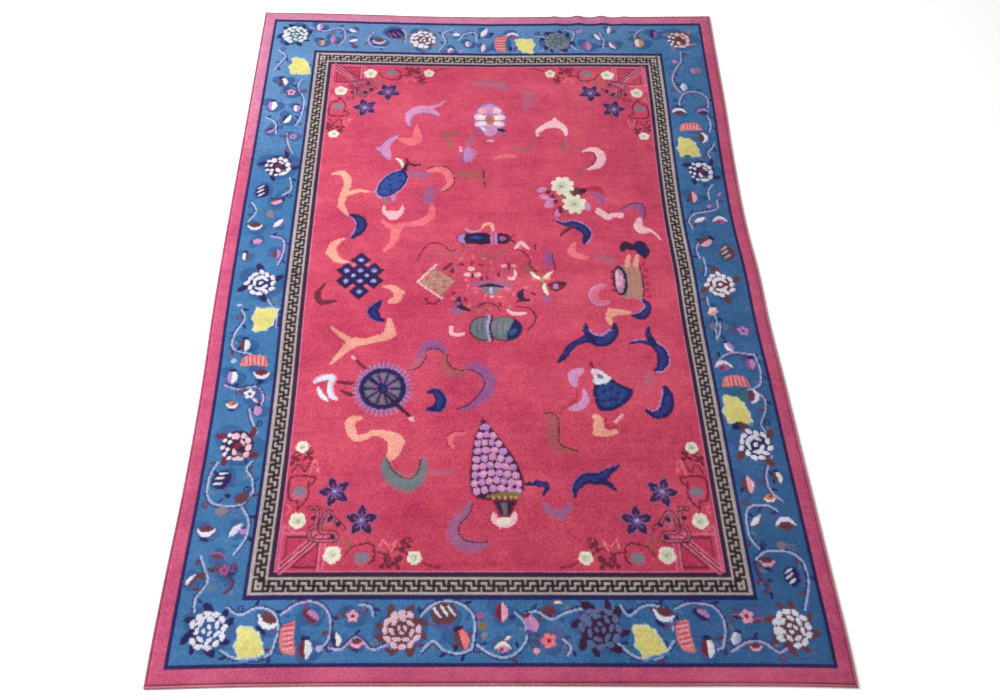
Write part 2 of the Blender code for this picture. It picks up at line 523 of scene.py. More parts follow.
MOSS_OUTLINE = (
    (-3.2, 3.9), (-2.2, 4.7), (-0.4, 3.9), (1, 4), (2.2, 2.4), (3.1, 1.9), (3.3, 0.2), (4.1, -1.4),
    (3.9, -2.8), (4.6, -4.4), (1.8, -4.9), (-0.6, -4.5), (-3, -4.8), (-3.3, -2.6), (-4.2, -0.8), (-3, 1.2),
)


def moss_patch(pen):
    """A rock with moss: a crooked patch with a pale fringe."""
    pen.shape(MOSS_OUTLINE, "moss", "celadon", True, 0.5)
    pen.ovals("moss_warm", 1.3, 0.8, 30, (-1.4, 1.8), (0.9, -0.6), (-1.2, -2.4), (2.2, -3.2))
    pen.line([(4.4, -5.3), (0.6, -5.6), (-3.2, -5.5)], "blue_pale", 0.6)


def coral_block(pen):
    """A block of coral with ribs."""
    left = [(-4.1, -1.9), (-4, -0.2), (-3.2, 1.5), (0, 2.2)]
    pen.shape(left + [(3.2, 1.6), (4, -0.2), (4.1, -1.8), (0, -1.6)], "coral")
    for x in (-2.6, -1.3, 0, 1.3, 2.6):
        pen.line([(x, 1.3), (x + 0.2, -1.2)], "pink", 0.4)
        pen.line([(x + 0.6, 1.4), (x + 0.8, -1.3)], "deep_rose", 0.35)


def spot(pen, yarn):
    """A soft round patch."""
    pen.oval(0, 0, 2, 1.6, yarn)


# The peony border. A size below nought draws its motif left for right

BORDER_FLOWERS = (
    # motif, yarns, x, y, size unless 1, turn in degrees
    # near end, from the left corner to the right one
    (peony, "white navy navy", -77.3, -115.8),
    (bud, "white brown", -83.8, -102.6, 0.7, -35),
    (spot, "brown", -81.3, -101.4, 0.6),
    (blossom, "mauve wine", -75.4, -100, 0.8),
    (leaf, "brown", -78, -96, 0.8, 80),
    (cap, "brown white navy", -62, -114, 1, -25),
    (moss_patch, "", -66.2, -118.7, 0.88, 8),
    (coral_block, "", -56, -118.2, 1, 95),
    (bud, "wine lilac wine", -50.4, -112.4, 0.9, 55),
    (bud, "wine white navy", -51.2, -120.6, 1.05, 5),
    (spot, "lavender", -47.6, -120.8, 0.5),
    (bud, "navy white", -43.3, -118.6, 0.75, 10),
    (blossom, "pink wine", -39.5, -112.5, 0.85),
    (cap, "brown pink navy", -38, -119.6, 0.62),
    (peony, "peony_pink brown brown", -26.3, -116, -1, 40),
    (striped_leaf, "brown white", -15.3, -112.3, 1.05),
    (bud, "brown salmon plum", -10.6, -118.2, 1.15, 20),
    (spot, "mauve", -5.6, -112.4, 0.6),
    (spot, "olive", -5, -115, 0.6),
    (spot, "grey", -4.6, -117.4, 0.5),
    (bud, "wine pink", 0.1, -111.4),
    (cap, "orchid ivory", 0.2, -120.2, 0.7, 180),
    (leaf, "ivory", 1.6, -118.2, 0.5, -60),
    (bud, "lilac orchid wine", 7.8, -114.2, 1, 30),
    (bud, "wine brown", 12.6, -110.9, 0.8, 95),
    (leaf, "ivory", 15.2, -108.8, 0.5, 95),
    (blossom, "salmon wine", 12.3, -118.8, 1.05, 20),
    (spot, "pink", 9, -121.5, 0.45),
    (peony, "steel plum plum", 26, -115.5, 1.1, 20),
    (moss_patch, "", 38.2, -118.3, 0.9, 15),
    (cap, "brown white navy", 43.2, -112.3, 0.95, -20),
    (coral_block, "", 48.2, -117.6, 1, 97),
    (bud, "navy lilac navy", 53.6, -112, 0.85, 60),
    (bud, "wine white navy", 53.9, -120.4, 1.05),
    (bud, "white sky navy", 61.7, -118, 0.75, -25),
    (blossom, "pink wine", 65.5, -112.5, 1, 10),
    (leaf, "navy", 62.9, -112.6, 0.6, 70),
    (leaf, "brown", 68.2, -113.6, 0.6, 100),
    (cap, "brown pink", 66.5, -120.6, 0.55),
    (peony, "white brown brown", 77, -115.5, 1, 60),
    (striped_leaf, "navy white", 80.3, -101.6, 0.8, 90),
    (cap, "brown pink navy", 74, -98, 0.7),
    # left side, from the near end to the far one
    (cap, "brown white navy", -82.4, -89.2, 0.85),
    (leaf, "white sky", -74.2, -88.6, 0.95, -40),
    (spot, "lilac", -71.9, -89.2, 0.5),
    (spot, "grey", -79, -83.2, 0.9),
    (spot, "brown", -73.8, -79.2, 1.05, 30),
    (striped_leaf, "navy white", -80.2, -73.8, 0.92, 60),
    (spot, "navy", -78, -78.6, 0.4),
    (folded_peony, "peony_pink plum wine", -77.5, -63, 1.12),
    (bud, "orchid lilac navy", -72.9, -51.4, 0.75),
    (cap, "orange ivory navy", -81, -50, 0.6),
    (blossom, "white navy", -76, -46, 0.9),
    (leaf, "white", -74.2, -48, 0.5, 50),
    (bud, "lilac white navy", -82, -40, 0.95),
    (cap, "wine white navy", -73.2, -39.4, 0.85),
    (coral_block, "", -75.9, -34.4),
    (spot, "sky", -82.3, -34.4, 0.5),
    (bud, "brown white navy", -79.3, -28.5, 0.95),
    (moss_patch, "", -74.4, -19.4, -0.95, 180),
    (spot, "sky", -82.8, -13.7, 0.4),
    (ring_peony, "white navy navy", -77, -5, 1.1),
    (bud, "white brown navy", -83.2, 6, 0.7),
    (bud, "lilac brown", -73, 6.8, 0.75, 180),
    (bud, "lilac orchid navy", -80.2, 12, 0.7, 90),
    (cap, "brown white", -81.7, 18.2, 0.85),
    (leaf, "white", -73.8, 19.8, 0.95, -40),
    (spot, "grey", -77, 24, 0.9, 90),
    (bud, "brown pink navy", -75.2, 29.8, 0.9, -70),
    (striped_leaf, "navy white", -80.6, 34.4, 0.9, 90),
    (folded_peony, "white plum navy", -76.7, 46.3, 1.12, 20),
    (blossom, "lilac navy", -73, 60.6, 0.7),
    (bud, "navy lilac", -81.6, 63.6, 0.7, -60),
    (bud, "navy white", -76.2, 69.6, 0.95, -30),
    (bud, "white lilac navy", -73, 75.2, 0.75),
    (bud, "lilac white navy", -82.3, 76.6),
    (blossom, "pink brown", -76, 83.5, 0.85),
    (bud, "brown white navy", -79.6, 89.4, 0.95, 20),
    (moss_patch, "", -74.3, 98.2),
    # far end, from the left corner to the right one
    (peony, "white teal navy", -77.8, 116, 0.98, 90),
    (bud, "white lilac", -68.2, 121.2, 0.8),
    (bud, "grey tan navy", -66.8, 112, 0.8),
    (leaf, "lilac", -62.5, 114),
    (leaf, "white", -55, 119.4, 0.85, 60),
    (leaf, "white", -54.4, 113.4, 0.85, 110),
    (spot, "brown", -53.6, 109.8, 0.6),
    (cap, "brown silver", -44, 113, 0.9),
    (striped_leaf, "navy mauve", -38, 118.6, 1.05, 180),
    (peony, "white brown grey", -26.6, 114.8, 1, 130),
    (spot, "white", -13.2, 118.2, 0.65),
    (bud, "white lilac navy", -15.3, 108.8, 0.7, -40),
    (bud, "white lilac navy", -8.4, 112.8, 0.75),
    (spot, "lilac", -11.3, 108.3, 0.5),
    (leaf, "white", -2, 119.4, 1.15, -25),
    (leaf, "white", -2.4, 110.4, 1, -10),
    (spot, "navy", 1, 118.8, 0.5, 90),
    (coral_block, "", 4.6, 113, 1.15, 86),
    (cap, "mauve white", 9.4, 118.2, 0.85, 180),
    (moss_patch, "", 14.6, 111.2, 0.92, 180),
    (leaf, "navy", 8.6, 110, 0.75),
    (peony, "grey teal navy", 27.4, 114.2, 1, 200),
    (spot, "lilac", 36.8, 120, 0.7),
    (bud, "mauve lilac", 39.5, 111.6),
    (leaf, "white", 43.9, 116.8, 0.9, 30),
    (leaf, "white", 48.9, 121, 0.9, -10),
    (bud, "white mauve", 49.9, 112, 0.85, 30),
    (bud, "ivory tan brown", 60.8, 113.6, 1.1),
    (bud, "navy mauve navy", 67, 118.6, 0.9),
    (folded_peony, "peony_pink brown grey", 77.4, 115.4, 1.12),
    # right side, from the far end to the near one
    (spot, "lilac", 74, 102.4, 0.6, 90),
    (spot, "lilac", 81, 97, 0.75, 90),
    (spot, "grey", 82.9, 97.4, 0.9, 90),
    (bud, "white sky", 76.2, 88, 0.8),
    (cap, "brown white navy", 72.8, 75.2, 0.9, 180),
    (cap, "navy lilac", 82.2, 75, 0.8, 180),
    (coral_block, "", 76.4, 66.8, 0.98),
    (moss_patch, "", 74.4, 56.8),
    (leaf, "teal", 77.6, 61.6, 0.95, 70),
    (cap, "brown white", 81.2, 61.2, 0.85, 90),
    (spot, "teal", 73.8, 51.8, 0.7),
    (folded_peony, "white navy navy", 78.4, 45, 1.12),
    (bud, "brown pink", 73.6, 32.8),
    (leaf, "lilac", 83.6, 34, 0.5, -40),
    (spot, "lilac", 79, 28.4, 0.5),
    (leaf, "white", 74.8, 22.4, 0.95, -65),
    (cap, "mauve white", 82, 22.6, 0.85, 180),
    (bud, "brown pink navy", 75.4, 13, 1.1, -55),
    (striped_leaf, "brown silver", 82.2, 8.4, 0.95, 90),
    (ring_peony, "white wine brown", 76.9, -4.8, 1.1),
    (bud, "ivory pink teal", 73.1, -15.4, 0.8, -60),
    (spot, "grey", 72, -21.2, 0.7, 90),
    (blossom, "lilac brown", 81.8, -22.8, 0.95),
    (bud, "white lilac navy", 75.8, -28.6, 0.8, 30),
    (cap, "mauve white", 72.8, -35.2, 0.9, 180),
    (bud, "mauve lilac navy", 81.8, -34.8, 0.85),
    (coral_block, "", 75.5, -41.2),
    (striped_leaf, "teal deep_blue", 76, -46.2, 0.95, 10),
    (moss_patch, "", 73.8, -50.6),
    (cap, "brown white", 80.6, -46.4, 0.85, 75),
    (spot, "navy", 73.2, -56.4, 0.8, 30),
    (ring_peony, "white navy brown", 77.6, -62.4, 1.12, 15),
    (bud, "brown pink", 73, -75, 1.05),
    (leaf, "white", 74.5, -75, 0.5),
    (bud, "brown white navy", 82.2, -72.6, 0.8, 10),
    (cap, "orange ivory", 78.5, -79.5, 0.6),
    (leaf, "white brown", 73.2, -86, 0.95, -45),
    (cap, "brown white", 81.5, -86.2, 0.95, 180),
    (spot, "grey", 79, -93, 0.7),
)
BORDER_VINES = (
    # dark on the left for 1 or on the right for -1, light yarn, points
    (-1, "sky", (-82.5, -96), (-80, -101), (-79.5, -103.5), (-81.8, -107.5), (-81.5, -111)),
    (1, "brown", (-72.5, -98), (-75, -101), (-72.7, -103.5), (-74.5, -106)),
    (1, "sky", (-73, -110), (-69.5, -112), (-65, -110.2), (-60.5, -111.5), (-58.8, -116), (-60, -122)),
    (1, "sky", (-60, -122), (-64, -123.4), (-69, -123), (-73, -121)),
    (1, "lavender", (-58.5, -112), (-54, -109), (-49, -109), (-45.6, -112.5), (-45.4, -118.5), (-48, -121)),
    (1, "sky", (-38, -109.5), (-35, -110), (-34, -112.5)),
    (1, "lavender", (-45, -120.5), (-42, -121), (-38, -118), (-34, -121), (-29.5, -119.5)),
    (1, "sky", (-21.5, -112.5), (-18, -109.3), (-12.5, -108.7), (-8, -111.5), (-7.2, -116), (-8, -121)),
    (1, "sky", (-8, -121), (-11, -122), (-15, -121.3), (-18, -119), (-21, -121.5)),
    (-1, "sky", (-6.5, -120), (-2, -122.7), (2.5, -122.6), (6.2, -119), (6.2, -114.5), (3.5, -111.5)),
    (1, "sky", (6, -112), (9.5, -111.3), (13, -113.2), (17.5, -111.5), (22, -110.3)),
    (-1, "lavender", (16, -118.5), (18, -120.5), (17, -122.5)),
    (1, "sky", (32, -109.5), (34, -112.3), (38, -109.8), (42, -109.8), (45, -111.5), (45.2, -116)),
    (-1, "sky", (30.5, -119.5), (35, -123), (41, -123), (45, -119)),
    (1, "lavender", (46.5, -110.5), (51, -109), (57, -110), (59.3, -114.5), (58, -120), (56.5, -121)),
    (1, "lavender", (60, -121.5), (65, -119), (69, -119.3), (72.5, -121.7), (76, -119.5)),
    (-1, "sky", (84, -97.5), (84.3, -103), (81.5, -110.5)),
    (-1, "brown", (71.5, -96), (70.8, -99), (71.8, -102.5), (73.2, -104.5), (72, -106.5)),
    (1, "sky", (71, -97), (74.5, -94.7), (81, -95), (84, -97.5)),
    (1, "sky", (80, -83), (77, -81.3), (72, -82), (70.4, -86), (70.6, -91), (72.5, -94)),
    (-1, "lavender", (82, -66), (79, -72), (79.3, -77), (82, -80)),
    (1, "sky", (83.6, -31.5), (84.2, -37), (83, -42.3), (79, -44)),
    (-1, "lavender", (71, -34.7), (73.3, -32.3), (77, -30.9), (83, -31.7)),
    (1, "lavender", (80, -44), (83.3, -46.7), (83, -51.3), (80.7, -55.7), (82, -58.5)),
    (-1, "sky", (71.7, -10), (72, -14), (73.6, -18.7), (72.7, -22.3), (72.5, -26)),
    (1, "sky", (74.5, -20.3), (74, -23.3), (72.7, -25.7)),
    (-1, "sky", (73, 6), (73.2, 2), (72.4, -1)),
    (1, "lavender", (71.7, 6), (71.2, 9.5), (72.4, 12)),
    (1, "lavender", (71.5, 18.7), (70.8, 22), (73, 25), (78, 26.2), (81.8, 27.5), (82.3, 31)),
    (1, "sky", (79.6, 31.5), (79.7, 35.5), (81.6, 38.4)),
    (-1, "sky", (84.7, 58.3), (83.3, 55.7), (81.7, 53.7), (82.3, 51.3)),
    (-1, "sky", (83.6, 72.5), (84.3, 68), (83.6, 64.5)),
    (-1, "lavender", (73.3, 76.7), (73.7, 80.7), (76, 84.5), (80.5, 85.4), (84.4, 82), (84.3, 77)),
    (1, "lavender", (77, 108), (76.6, 102.5), (74, 98), (72.2, 93), (72.8, 88), (74.5, 85.2)),
    (-1, "lavender", (59.4, 110.5), (59, 114.5), (59.6, 118.5), (62.5, 121.5)),
    (1, "lavender", (45.7, 110), (46.2, 114.5), (44.8, 119)),
    (1, "sky", (31, 121.5), (34.5, 119), (33, 112), (36, 108.6)),
    (1, "sky", (18.5, 117.5), (22.3, 116.7), (23.3, 111), (21, 108)),
    (-1, "sky", (-20, 108.4), (-17.5, 113.5), (-18.6, 118.5), (-14.5, 121.7)),
    (1, "sky", (-12.4, 115), (-10, 118.7), (-5.6, 119.5), (-5.2, 114)),
    (1, "lavender", (-46.3, 118.6), (-48.4, 114.4), (-46.2, 110.2), (-41, 110)),
    (1, "lavender", (-34, 112.5), (-33.5, 117.5), (-35.8, 122)),
    (-1, "lavender", (-72.3, 120.5), (-66, 118.6), (-60, 120.7), (-57.7, 115.5), (-60, 110)),
    (1, "sky", (-83.5, 107), (-80.3, 103.7), (-82, 99.5), (-84, 95.5)),
    (-1, "lavender", (-75.5, 62), (-74.5, 57), (-72.4, 52)),
    (1, "sky", (-84, 70), (-80.4, 67.7), (-79.5, 62)),
    (1, "sky", (-72.5, 66.5), (-71.2, 71), (-70.8, 79.5), (-73.8, 86.2), (-73, 90.5)),
    (1, "sky", (-72, 40.5), (-71, 35), (-73.8, 32.5)),
    (-1, "sky", (-84, 29), (-82, 25.2), (-84.3, 20.5)),
    (1, "lavender", (-75.5, 14.2), (-71.4, 12.8), (-70.8, 7.5), (-72.2, 2.2)),
    (1, "sky", (-75, -9.5), (-73, -13), (-70.5, -16.5), (-70.2, -22)),
    (-1, "sky", (-82, -15.5), (-80.5, -19), (-83, -24.5), (-83, -30), (-77, -32)),
    (1, "lavender", (-84, -43), (-80, -44.3), (-74, -43.6), (-71.8, -47), (-72, -49.5)),
    (-1, "sky", (-75.5, -51), (-74.5, -54.5), (-72.2, -59)),
    (-1, "sky", (-82.5, -68.5), (-84, -72), (-84, -78), (-81, -81.2), (-74, -81.3), (-71, -77.5)),
    (-1, "sky", (-71, -77.5), (-71.8, -73.5), (-73.9, -70.5), (-72.5, -68)),
    (1, "sky", (-73.5, -82), (-71, -86), (-71, -91), (-73.6, -95.5)),
)
SPRIG_YARNS = ("brown", "navy", "deep_blue", "mist", "wine", "ink", "steel", "navy")
SPRIG_STEP = 4
SHADE_REACH = {peony: 6.9, ring_peony: 6.6, folded_peony: 6.6, spot: 2.2, leaf: 3}
USUAL_REACH = 4.2


def sprigs(chart):
    """Small leaves and rolled tendrils that grow from the vines, on either side by turns."""
    pen = Pen(chart, 0, 0)
    grown = 0
    for _, _, *points in BORDER_VINES:
        path = smooth(points)
        for step in range(2, len(path) - 1, SPRIG_STEP):
            lean = path[step + 1] - path[step - 1]
            turn = math.degrees(math.atan2(lean[1], lean[0]))
            side = 1 if grown % 2 else -1
            yarn = SPRIG_YARNS[grown % len(SPRIG_YARNS)]
            if grown % 5 == 3:
                curl(pen, *at_angle(1.7, turn + 90 * side, *path[step]), 1.1, turn - 90 * side, yarn)
            else:
                spread = turn + 50 * side
                pen.oval(*at_angle(1.3, turn + 90 * side, *path[step]), 1.05, 0.42, yarn, spread)
            grown += 1


def shading(chart):
    """Darker blue wool round every flower and rock."""
    for motif, _, *place in BORDER_FLOWERS:
        pen = Pen(chart, *place)
        # Also the shade of a motif drawn left for right stays the usual way round
        pen.across = np.array([pen.along[1], -pen.along[0]])
        reach = SHADE_REACH.get(motif, USUAL_REACH)
        pen.oval(0.3 * reach, -0.25 * reach, 0.85 * reach, 0.6 * reach, "blue_shade", 25)
        pen.oval(-0.3 * reach, 0.3 * reach, 0.7 * reach, 0.55 * reach, "blue_shade", -20)


def peony_border(chart):
    """The wide blue border: vines, then all that stands on them, then what shows on the bare blue."""
    for side, light, *points in BORDER_VINES:
        vine(chart, points, side, light)
    for motif, yarns, *place in BORDER_FLOWERS:
        motif(Pen(chart, *place), *yarns.split())
    chart.bare = "blue"
    sprigs(chart)
    shading(chart)
    chart.bare = None


# Flying ribbons and clouds of the field: a band that swells and thins, some with a thin line along one side

RIBBONS = (
    # yarn, yarn of the line, its side, then x, y and width along the ribbon
    ("peach", (), (-41.3, -54, 1), (-44.2, -54.8, 2.6), (-44.3, -57.5, 3), (-42.6, -60.6, 2.2),
     (-40, -60.3, 1.8), (-37, -58.9, 1.9), (-33.5, -59.6, 2.8), (-30.6, -61.6, 4.6), (-31, -65, 3.6),
     (-32.2, -67.2, 2)),
    ("navy", ("mauve", 1), (-21.2, -45.3, 1), (-19, -45, 2.2), (-17.3, -47.6, 3.6), (-18, -50.4, 3.2),
     (-21.2, -51.2, 1)),
    ("mauve", ("wine", -1), (-24.5, -33, 1.5), (-22.5, -29.5, 2.5), (-20, -28.3, 3.2), (-17.2, -29.4, 2),
     (-16, -31.5, 1)),
    ("dusk", ("wine", -1), (-28, -37, 1), (-25.4, -36, 2.4), (-23.4, -33.5, 2.4), (-22.6, -31.5, 1)),
    ("bark", ("wine", 1), (-15.8, -32, 1), (-16.3, -35, 2.2), (-14.4, -38, 3), (-11.5, -38.6, 2.4),
     (-9.4, -38, 1)),
    ("mauve", ("wine", -1), (-9, -36.6, 1.5), (-5.6, -36.8, 3.4), (-2.8, -39.5, 3.6), (-2.2, -43, 3.8),
     (-4.4, -46.8, 3), (-7.8, -49.8, 1.6), (-12, -51.3, 0.5)),
    ("salmon", ("crimson", -1), (-10, -58.9, 0.8), (-13.4, -59.6, 1.6), (-14.4, -61.6, 1.6),
     (-13.2, -63.8, 0.8)),
    ("thistle", ("wine", 1), (-8, -80.8, 1.2), (-9.6, -83.6, 2.4), (-12.2, -86.4, 3),
     (-13, -89.5, 3.4), (-10.8, -92.8, 3.4), (-7, -93.5, 2.6), (-3.4, -92.8, 1)),
    ("mist", ("wine", 1), (-33.4, -67.8, 1.6), (-32.4, -71.4, 3.2), (-29.2, -74.4, 3.8),
     (-25.2, -75, 3.8), (-22.6, -72, 2.8), (-22.1, -67.3, 1.2)),
    ("dusk", (), (-20, -71.6, 1.2), (-16, -71.6, 1), (-13, -71, 0.6)),
    ("navy", (), (8, -75, 1), (11.4, -74.9, 1.8), (14.2, -75.6, 1.6), (12.9, -78.2, 0.8)),
    ("thistle", (), (13, -81, 1.2), (15, -83.6, 2.6), (18, -84, 2.6), (20.5, -81.5, 1.2)),
    ("navy", ("mauve", 1), (22, -79, 0.8), (22.6, -76, 2.4), (25.5, -73.4, 3.4), (29.5, -73.2, 3.6),
     (32.4, -71.2, 2.2), (35.6, -69.4, 0.8)),
    ("navy", (), (30, -74, 2), (32.4, -75.2, 1.6), (34, -76.8, 0.7)),
    ("bark", ("wine", 1), (14.4, -52.8, 0.8), (17, -54, 3.4), (16.9, -60.5, 3.6), (18, -63.4, 2.6),
     (24, -65.4, 0.8)),
    ("crimson", (), (19.3, -52.6, 0.6), (20.6, -50.6, 0.6), (24.6, -47.4, 0.6), (25.3, -42, 0.6),
     (25.6, -39, 0.6)),
    ("orchid", (), (27, -37.6, 2), (24.4, -39, 3.4), (24.4, -41.6, 2.4), (25, -43, 1)),
    ("orchid", (), (27.2, -44.4, 1), (27.6, -47.4, 2.4), (25.8, -49.8, 2.6), (22.6, -50.8, 1)),
    ("navy", (), (39.5, -20.3, 1), (39.2, -23, 3), (36.6, -25.8, 4.4), (34, -26.8, 4.2), (30.5, -25.8, 3),
     (27, -27.1, 2.2), (24, -29.3, 2.2), (22.3, -32, 2), (19.8, -34.5, 0.7)),
    ("navy", (), (30, -20.3, 0.9), (30, -23, 2.3), (31.6, -25.8, 2.8)),
    ("lilac", (), (30.9, -22.8, 0.5), (33.4, -24.5, 0.6), (35.2, -24.4, 0.6), (37.6, -22.6, 0.5)),
    ("navy", ("lilac", 1), (43.6, -27.6, 0.8), (47, -27, 1.2), (50.6, -27.6, 2), (53.4, -30.4, 3.6),
     (53.7, -34, 3.8), (52.4, -36.6, 2.4), (50.7, -37.3, 1)),
    ("navy", (), (50.7, -21.6, 0.9), (50.2, -24.4, 2.2), (51.4, -27.8, 2.6)),
    ("dusk", (), (48.3, -38, 1), (48.1, -40.5, 2.6), (48.3, -43, 1)),
    ("navy", ("lilac", -1), (53, -43.8, 2), (53.4, -47, 3.8), (52, -51, 4), (49, -52.7, 2.6),
     (46.2, -51.3, 1)),
    ("navy", ("lilac", -1), (49.6, -10.6, 1), (51.2, -12.6, 2), (51.2, -14.8, 2.4), (49.2, -17, 3),
     (46, -17.2, 1)),
    ("peach", (), (38.2, -20, 1.6), (37.9, -17.8, 2.4), (39.4, -16, 2.6), (42, -16, 2), (45, -16, 1.2)),
    ("cerise", ("orchid", -1), (38, -5.4, 0.9), (34.8, -6.8, 2.4), (33.4, -9.6, 2.8), (35, -12, 2),
     (38.4, -11.6, 0.9)),
    ("peach", (), (29.9, -53.2, 1.6), (31, -54.8, 3.2), (30.9, -57.8, 3.4), (33.2, -58.9, 2),
     (35.7, -58.4, 1.6)),
    ("crimson", (), (33.2, -53.8, 0.6), (32.9, -56, 0.6), (34.8, -57.3, 0.6), (36.4, -56.2, 0.6)),
    ("pink", (), (36, -55.3, 0.9), (38.4, -52.8, 0.9)),
    ("peach", (), (-36.7, -6.2, 0.8), (-33.7, -6.6, 2), (-31.7, -8.6, 3), (-32, -11, 2.8),
     (-34.3, -12.2, 1.2)),
    ("navy", ("mauve", -1), (-37.2, -12.2, 1.2), (-38.6, -14, 2.6), (-39.4, -16.2, 3.8), (-38.2, -18.4, 2.4),
     (-36, -19.6, 1)),
    ("peach", (), (-34, -19.2, 1.6), (-33.8, -22, 3), (-34.2, -24.8, 3.4), (-37.4, -26, 2.6),
     (-41.6, -27.3, 2.4), (-45.4, -27.8, 3.4), (-48.5, -31, 2), (-52, -35.3, 0.7)),
    ("peach", (), (-52.5, -22, 0.8), (-50, -24.3, 1.6), (-46.2, -27, 2.2)),
    ("peach", (), (-43.5, -54.5, 1), (-46, -56, 0.8)),
    ("salmon", (), (-21.3, 28.5, 1.6), (-21.2, 24.8, 2.6), (-23.4, 21.8, 3), (-26.5, 20.3, 2.4),
     (-30.5, 19.9, 2), (-33, 18, 3.4), (-33.6, 14.8, 3), (-34.4, 11.6, 2.2), (-37.2, 8.4, 0.8)),
    ("salmon", (), (-38.4, 21.2, 1.2), (-36, 19.4, 1.8), (-33, 18.4, 2)),
    ("thistle", (), (-21.7, 37.2, 1), (-22.2, 33.6, 3.4), (-23, 29.4, 1)),
    ("salmon", ("wine", 1), (-23, 44.4, 1.6), (-20, 45, 2.8), (-16.9, 44.4, 3.2), (-15.3, 41.5, 3),
     (-15.2, 38, 2.4), (-18, 35, 0.8)),
    ("bark", (), (-13, 42.6, 1.6), (-9.5, 43.2, 4), (-5.5, 42.6, 3.6), (-2.6, 41, 1.4)),
    ("wine", (), (-3, 45, 0.5), (-2.9, 40, 0.5), (-2.2, 36, 0.4)),
    ("thistle", (), (-29, 43.6, 1.4), (-26.6, 42.4, 3), (-23.4, 42.6, 1.6)),
    ("lilac", (), (-8.8, 56, 1), (-8.5, 52.8, 4.2), (-9, 49.4, 1.6)),
    ("mauve", (), (-11.2, 54.6, 0.8), (-11, 51.5, 0.8), (-11, 48, 0.8)),
    ("pink", (), (-11.3, 56, 1), (-11.4, 54, 1)),
    ("bark", (), (-12, 63.6, 1.4), (-16.4, 62.4, 2.8), (-15.6, 58.4, 2), (-14.6, 55, 1)),
    ("dusk", (), (-7.4, 62, 1.6), (-7.6, 59.4, 2.6), (-9, 58.4, 1.4)),
    ("orchid", ("mauve", -1), (-30.3, 67, 1), (-30.9, 70, 2.2), (-30, 73.2, 3.4), (-26.6, 75.2, 3.8),
     (-23, 74.8, 3), (-19.8, 72.4, 1)),
    ("orchid", (), (-23, 76.2, 1.6), (-20, 77.6, 1.3), (-17.5, 79.7, 0.6)),
    ("salmon", (), (-27.8, 66.4, 1.4), (-27.5, 63, 2.4), (-27.4, 60, 4), (-30, 58.6, 3.6),
     (-33.8, 59.8, 1.2)),
    ("orchid", ("mauve", -1), (-34.8, 61, 1.4), (-36.9, 59, 2.4), (-38.8, 56, 3.4), (-38.4, 52.8, 3.4),
     (-37.4, 50.4, 1.6)),
    ("orchid", (), (-39, 54.6, 3), (-41.2, 54.8, 1.6)),
    ("ivory", (), (-34.6, 50.2, 0.7), (-32.9, 48.8, 1.2), (-32.2, 46.3, 0.8)),
    ("peach", (), (-57, 42.5, 1), (-53.4, 42.8, 2.4), (-51.6, 39.6, 2.8), (-51.6, 36, 2.6),
     (-52.6, 31.6, 2.6), (-52.8, 27.8, 2.4), (-50.5, 24, 1)),
    ("peach", (), (-50.4, 33.6, 1.8), (-47.2, 34.8, 1.4), (-43.6, 34.4, 1)),
    ("navy", ("lilac", -1), (-49.5, 24, 1), (-46.6, 22.4, 3), (-45.2, 19.8, 3.8), (-46, 16.8, 3),
     (-48.2, 14, 1)),
    ("peach", (), (-51, 13.4, 1), (-54, 11, 2.6), (-54.4, 7.6, 3), (-52.4, 4.6, 2), (-49, 3.5, 1)),
    ("wine", (), (-56, -5.5, 0.8), (-58, -9, 2), (-56.6, -12.4, 2), (-52, -12, 0.8)),
    ("white", ("pink", 1), (-56.5, -42, 0.8), (-54.4, -40.6, 1.8), (-51, -40.3, 1.6), (-51.8, -43.2, 1.6),
     (-51, -46.4, 1.6), (-49.4, -47.7, 0.8)),
    ("white", (), (-55, -44, 0.9), (-54, -46.4, 1.4), (-52.2, -48, 0.8)),
    ("wine", (), (-49, -41.8, 1.2), (-44.6, -42.3, 1.2)),
    ("wine", (), (-48, -45, 1.2), (-44.6, -46.2, 1.2)),
    ("blush", (), (17.5, 61.6, 0.9), (18, 64.4, 1.9), (20.6, 66.7, 2.4), (24, 68, 3.8), (27, 66.8, 2.6),
     (28.3, 64.4, 1.8), (28.4, 62, 0.7)),
    ("blush", (), (24.4, 70.4, 1.6), (25, 68.6, 3)),
    ("bark", (), (17.2, 61.2, 0.6), (15.6, 57.8, 1), (13.6, 54.8, 2), (9.6, 55.4, 0.7), (7.5, 57, 0.5)),
    ("dusk", (), (28.2, 61.4, 0.6), (28.2, 58.2, 0.8), (30, 55.6, 0.8), (34.4, 54.4, 0.6)),
    ("bark", (), (26.4, 58.4, 0.8), (26.6, 56.2, 2), (28.6, 54, 0.8)),
    ("peach_faded", (), (0.5, 50.6, 0.8), (5, 51.8, 1.8), (9, 51.6, 1)),
    ("blush", ("wine", -1), (34.7, 54.2, 1), (37.5, 55.2, 2.2), (40, 54.2, 3.2), (41.2, 51.4, 3.6),
     (40, 48, 3.2), (36.2, 45.8, 1)),
    ("bark", (), (35.2, 47.4, 0.6), (33.2, 44.6, 0.8), (32.6, 41, 0.6)),
    ("crimson", (), (34.4, 36, 1.6), (38, 36.5, 2.4), (40.6, 34.6, 1.4)),
    ("mauve", (), (37, 34, 1), (39.2, 32.6, 2.4), (40.2, 29.6, 1)),
    ("blush", (), (37.4, 25.8, 1), (39.4, 25.2, 2.6), (41.4, 23.4, 2.4), (43.4, 24.4, 1.8),
     (46.2, 24.3, 2.6)),
    ("blush", (), (38.2, 27, 1.2), (39.6, 25.4, 2)),
    ("mauve", ("wine", 1), (46.6, 26.4, 0.6), (50, 28.6, 1.4), (53.4, 28.4, 3), (54.6, 25.4, 1.6),
     (54.2, 23, 0.8)),
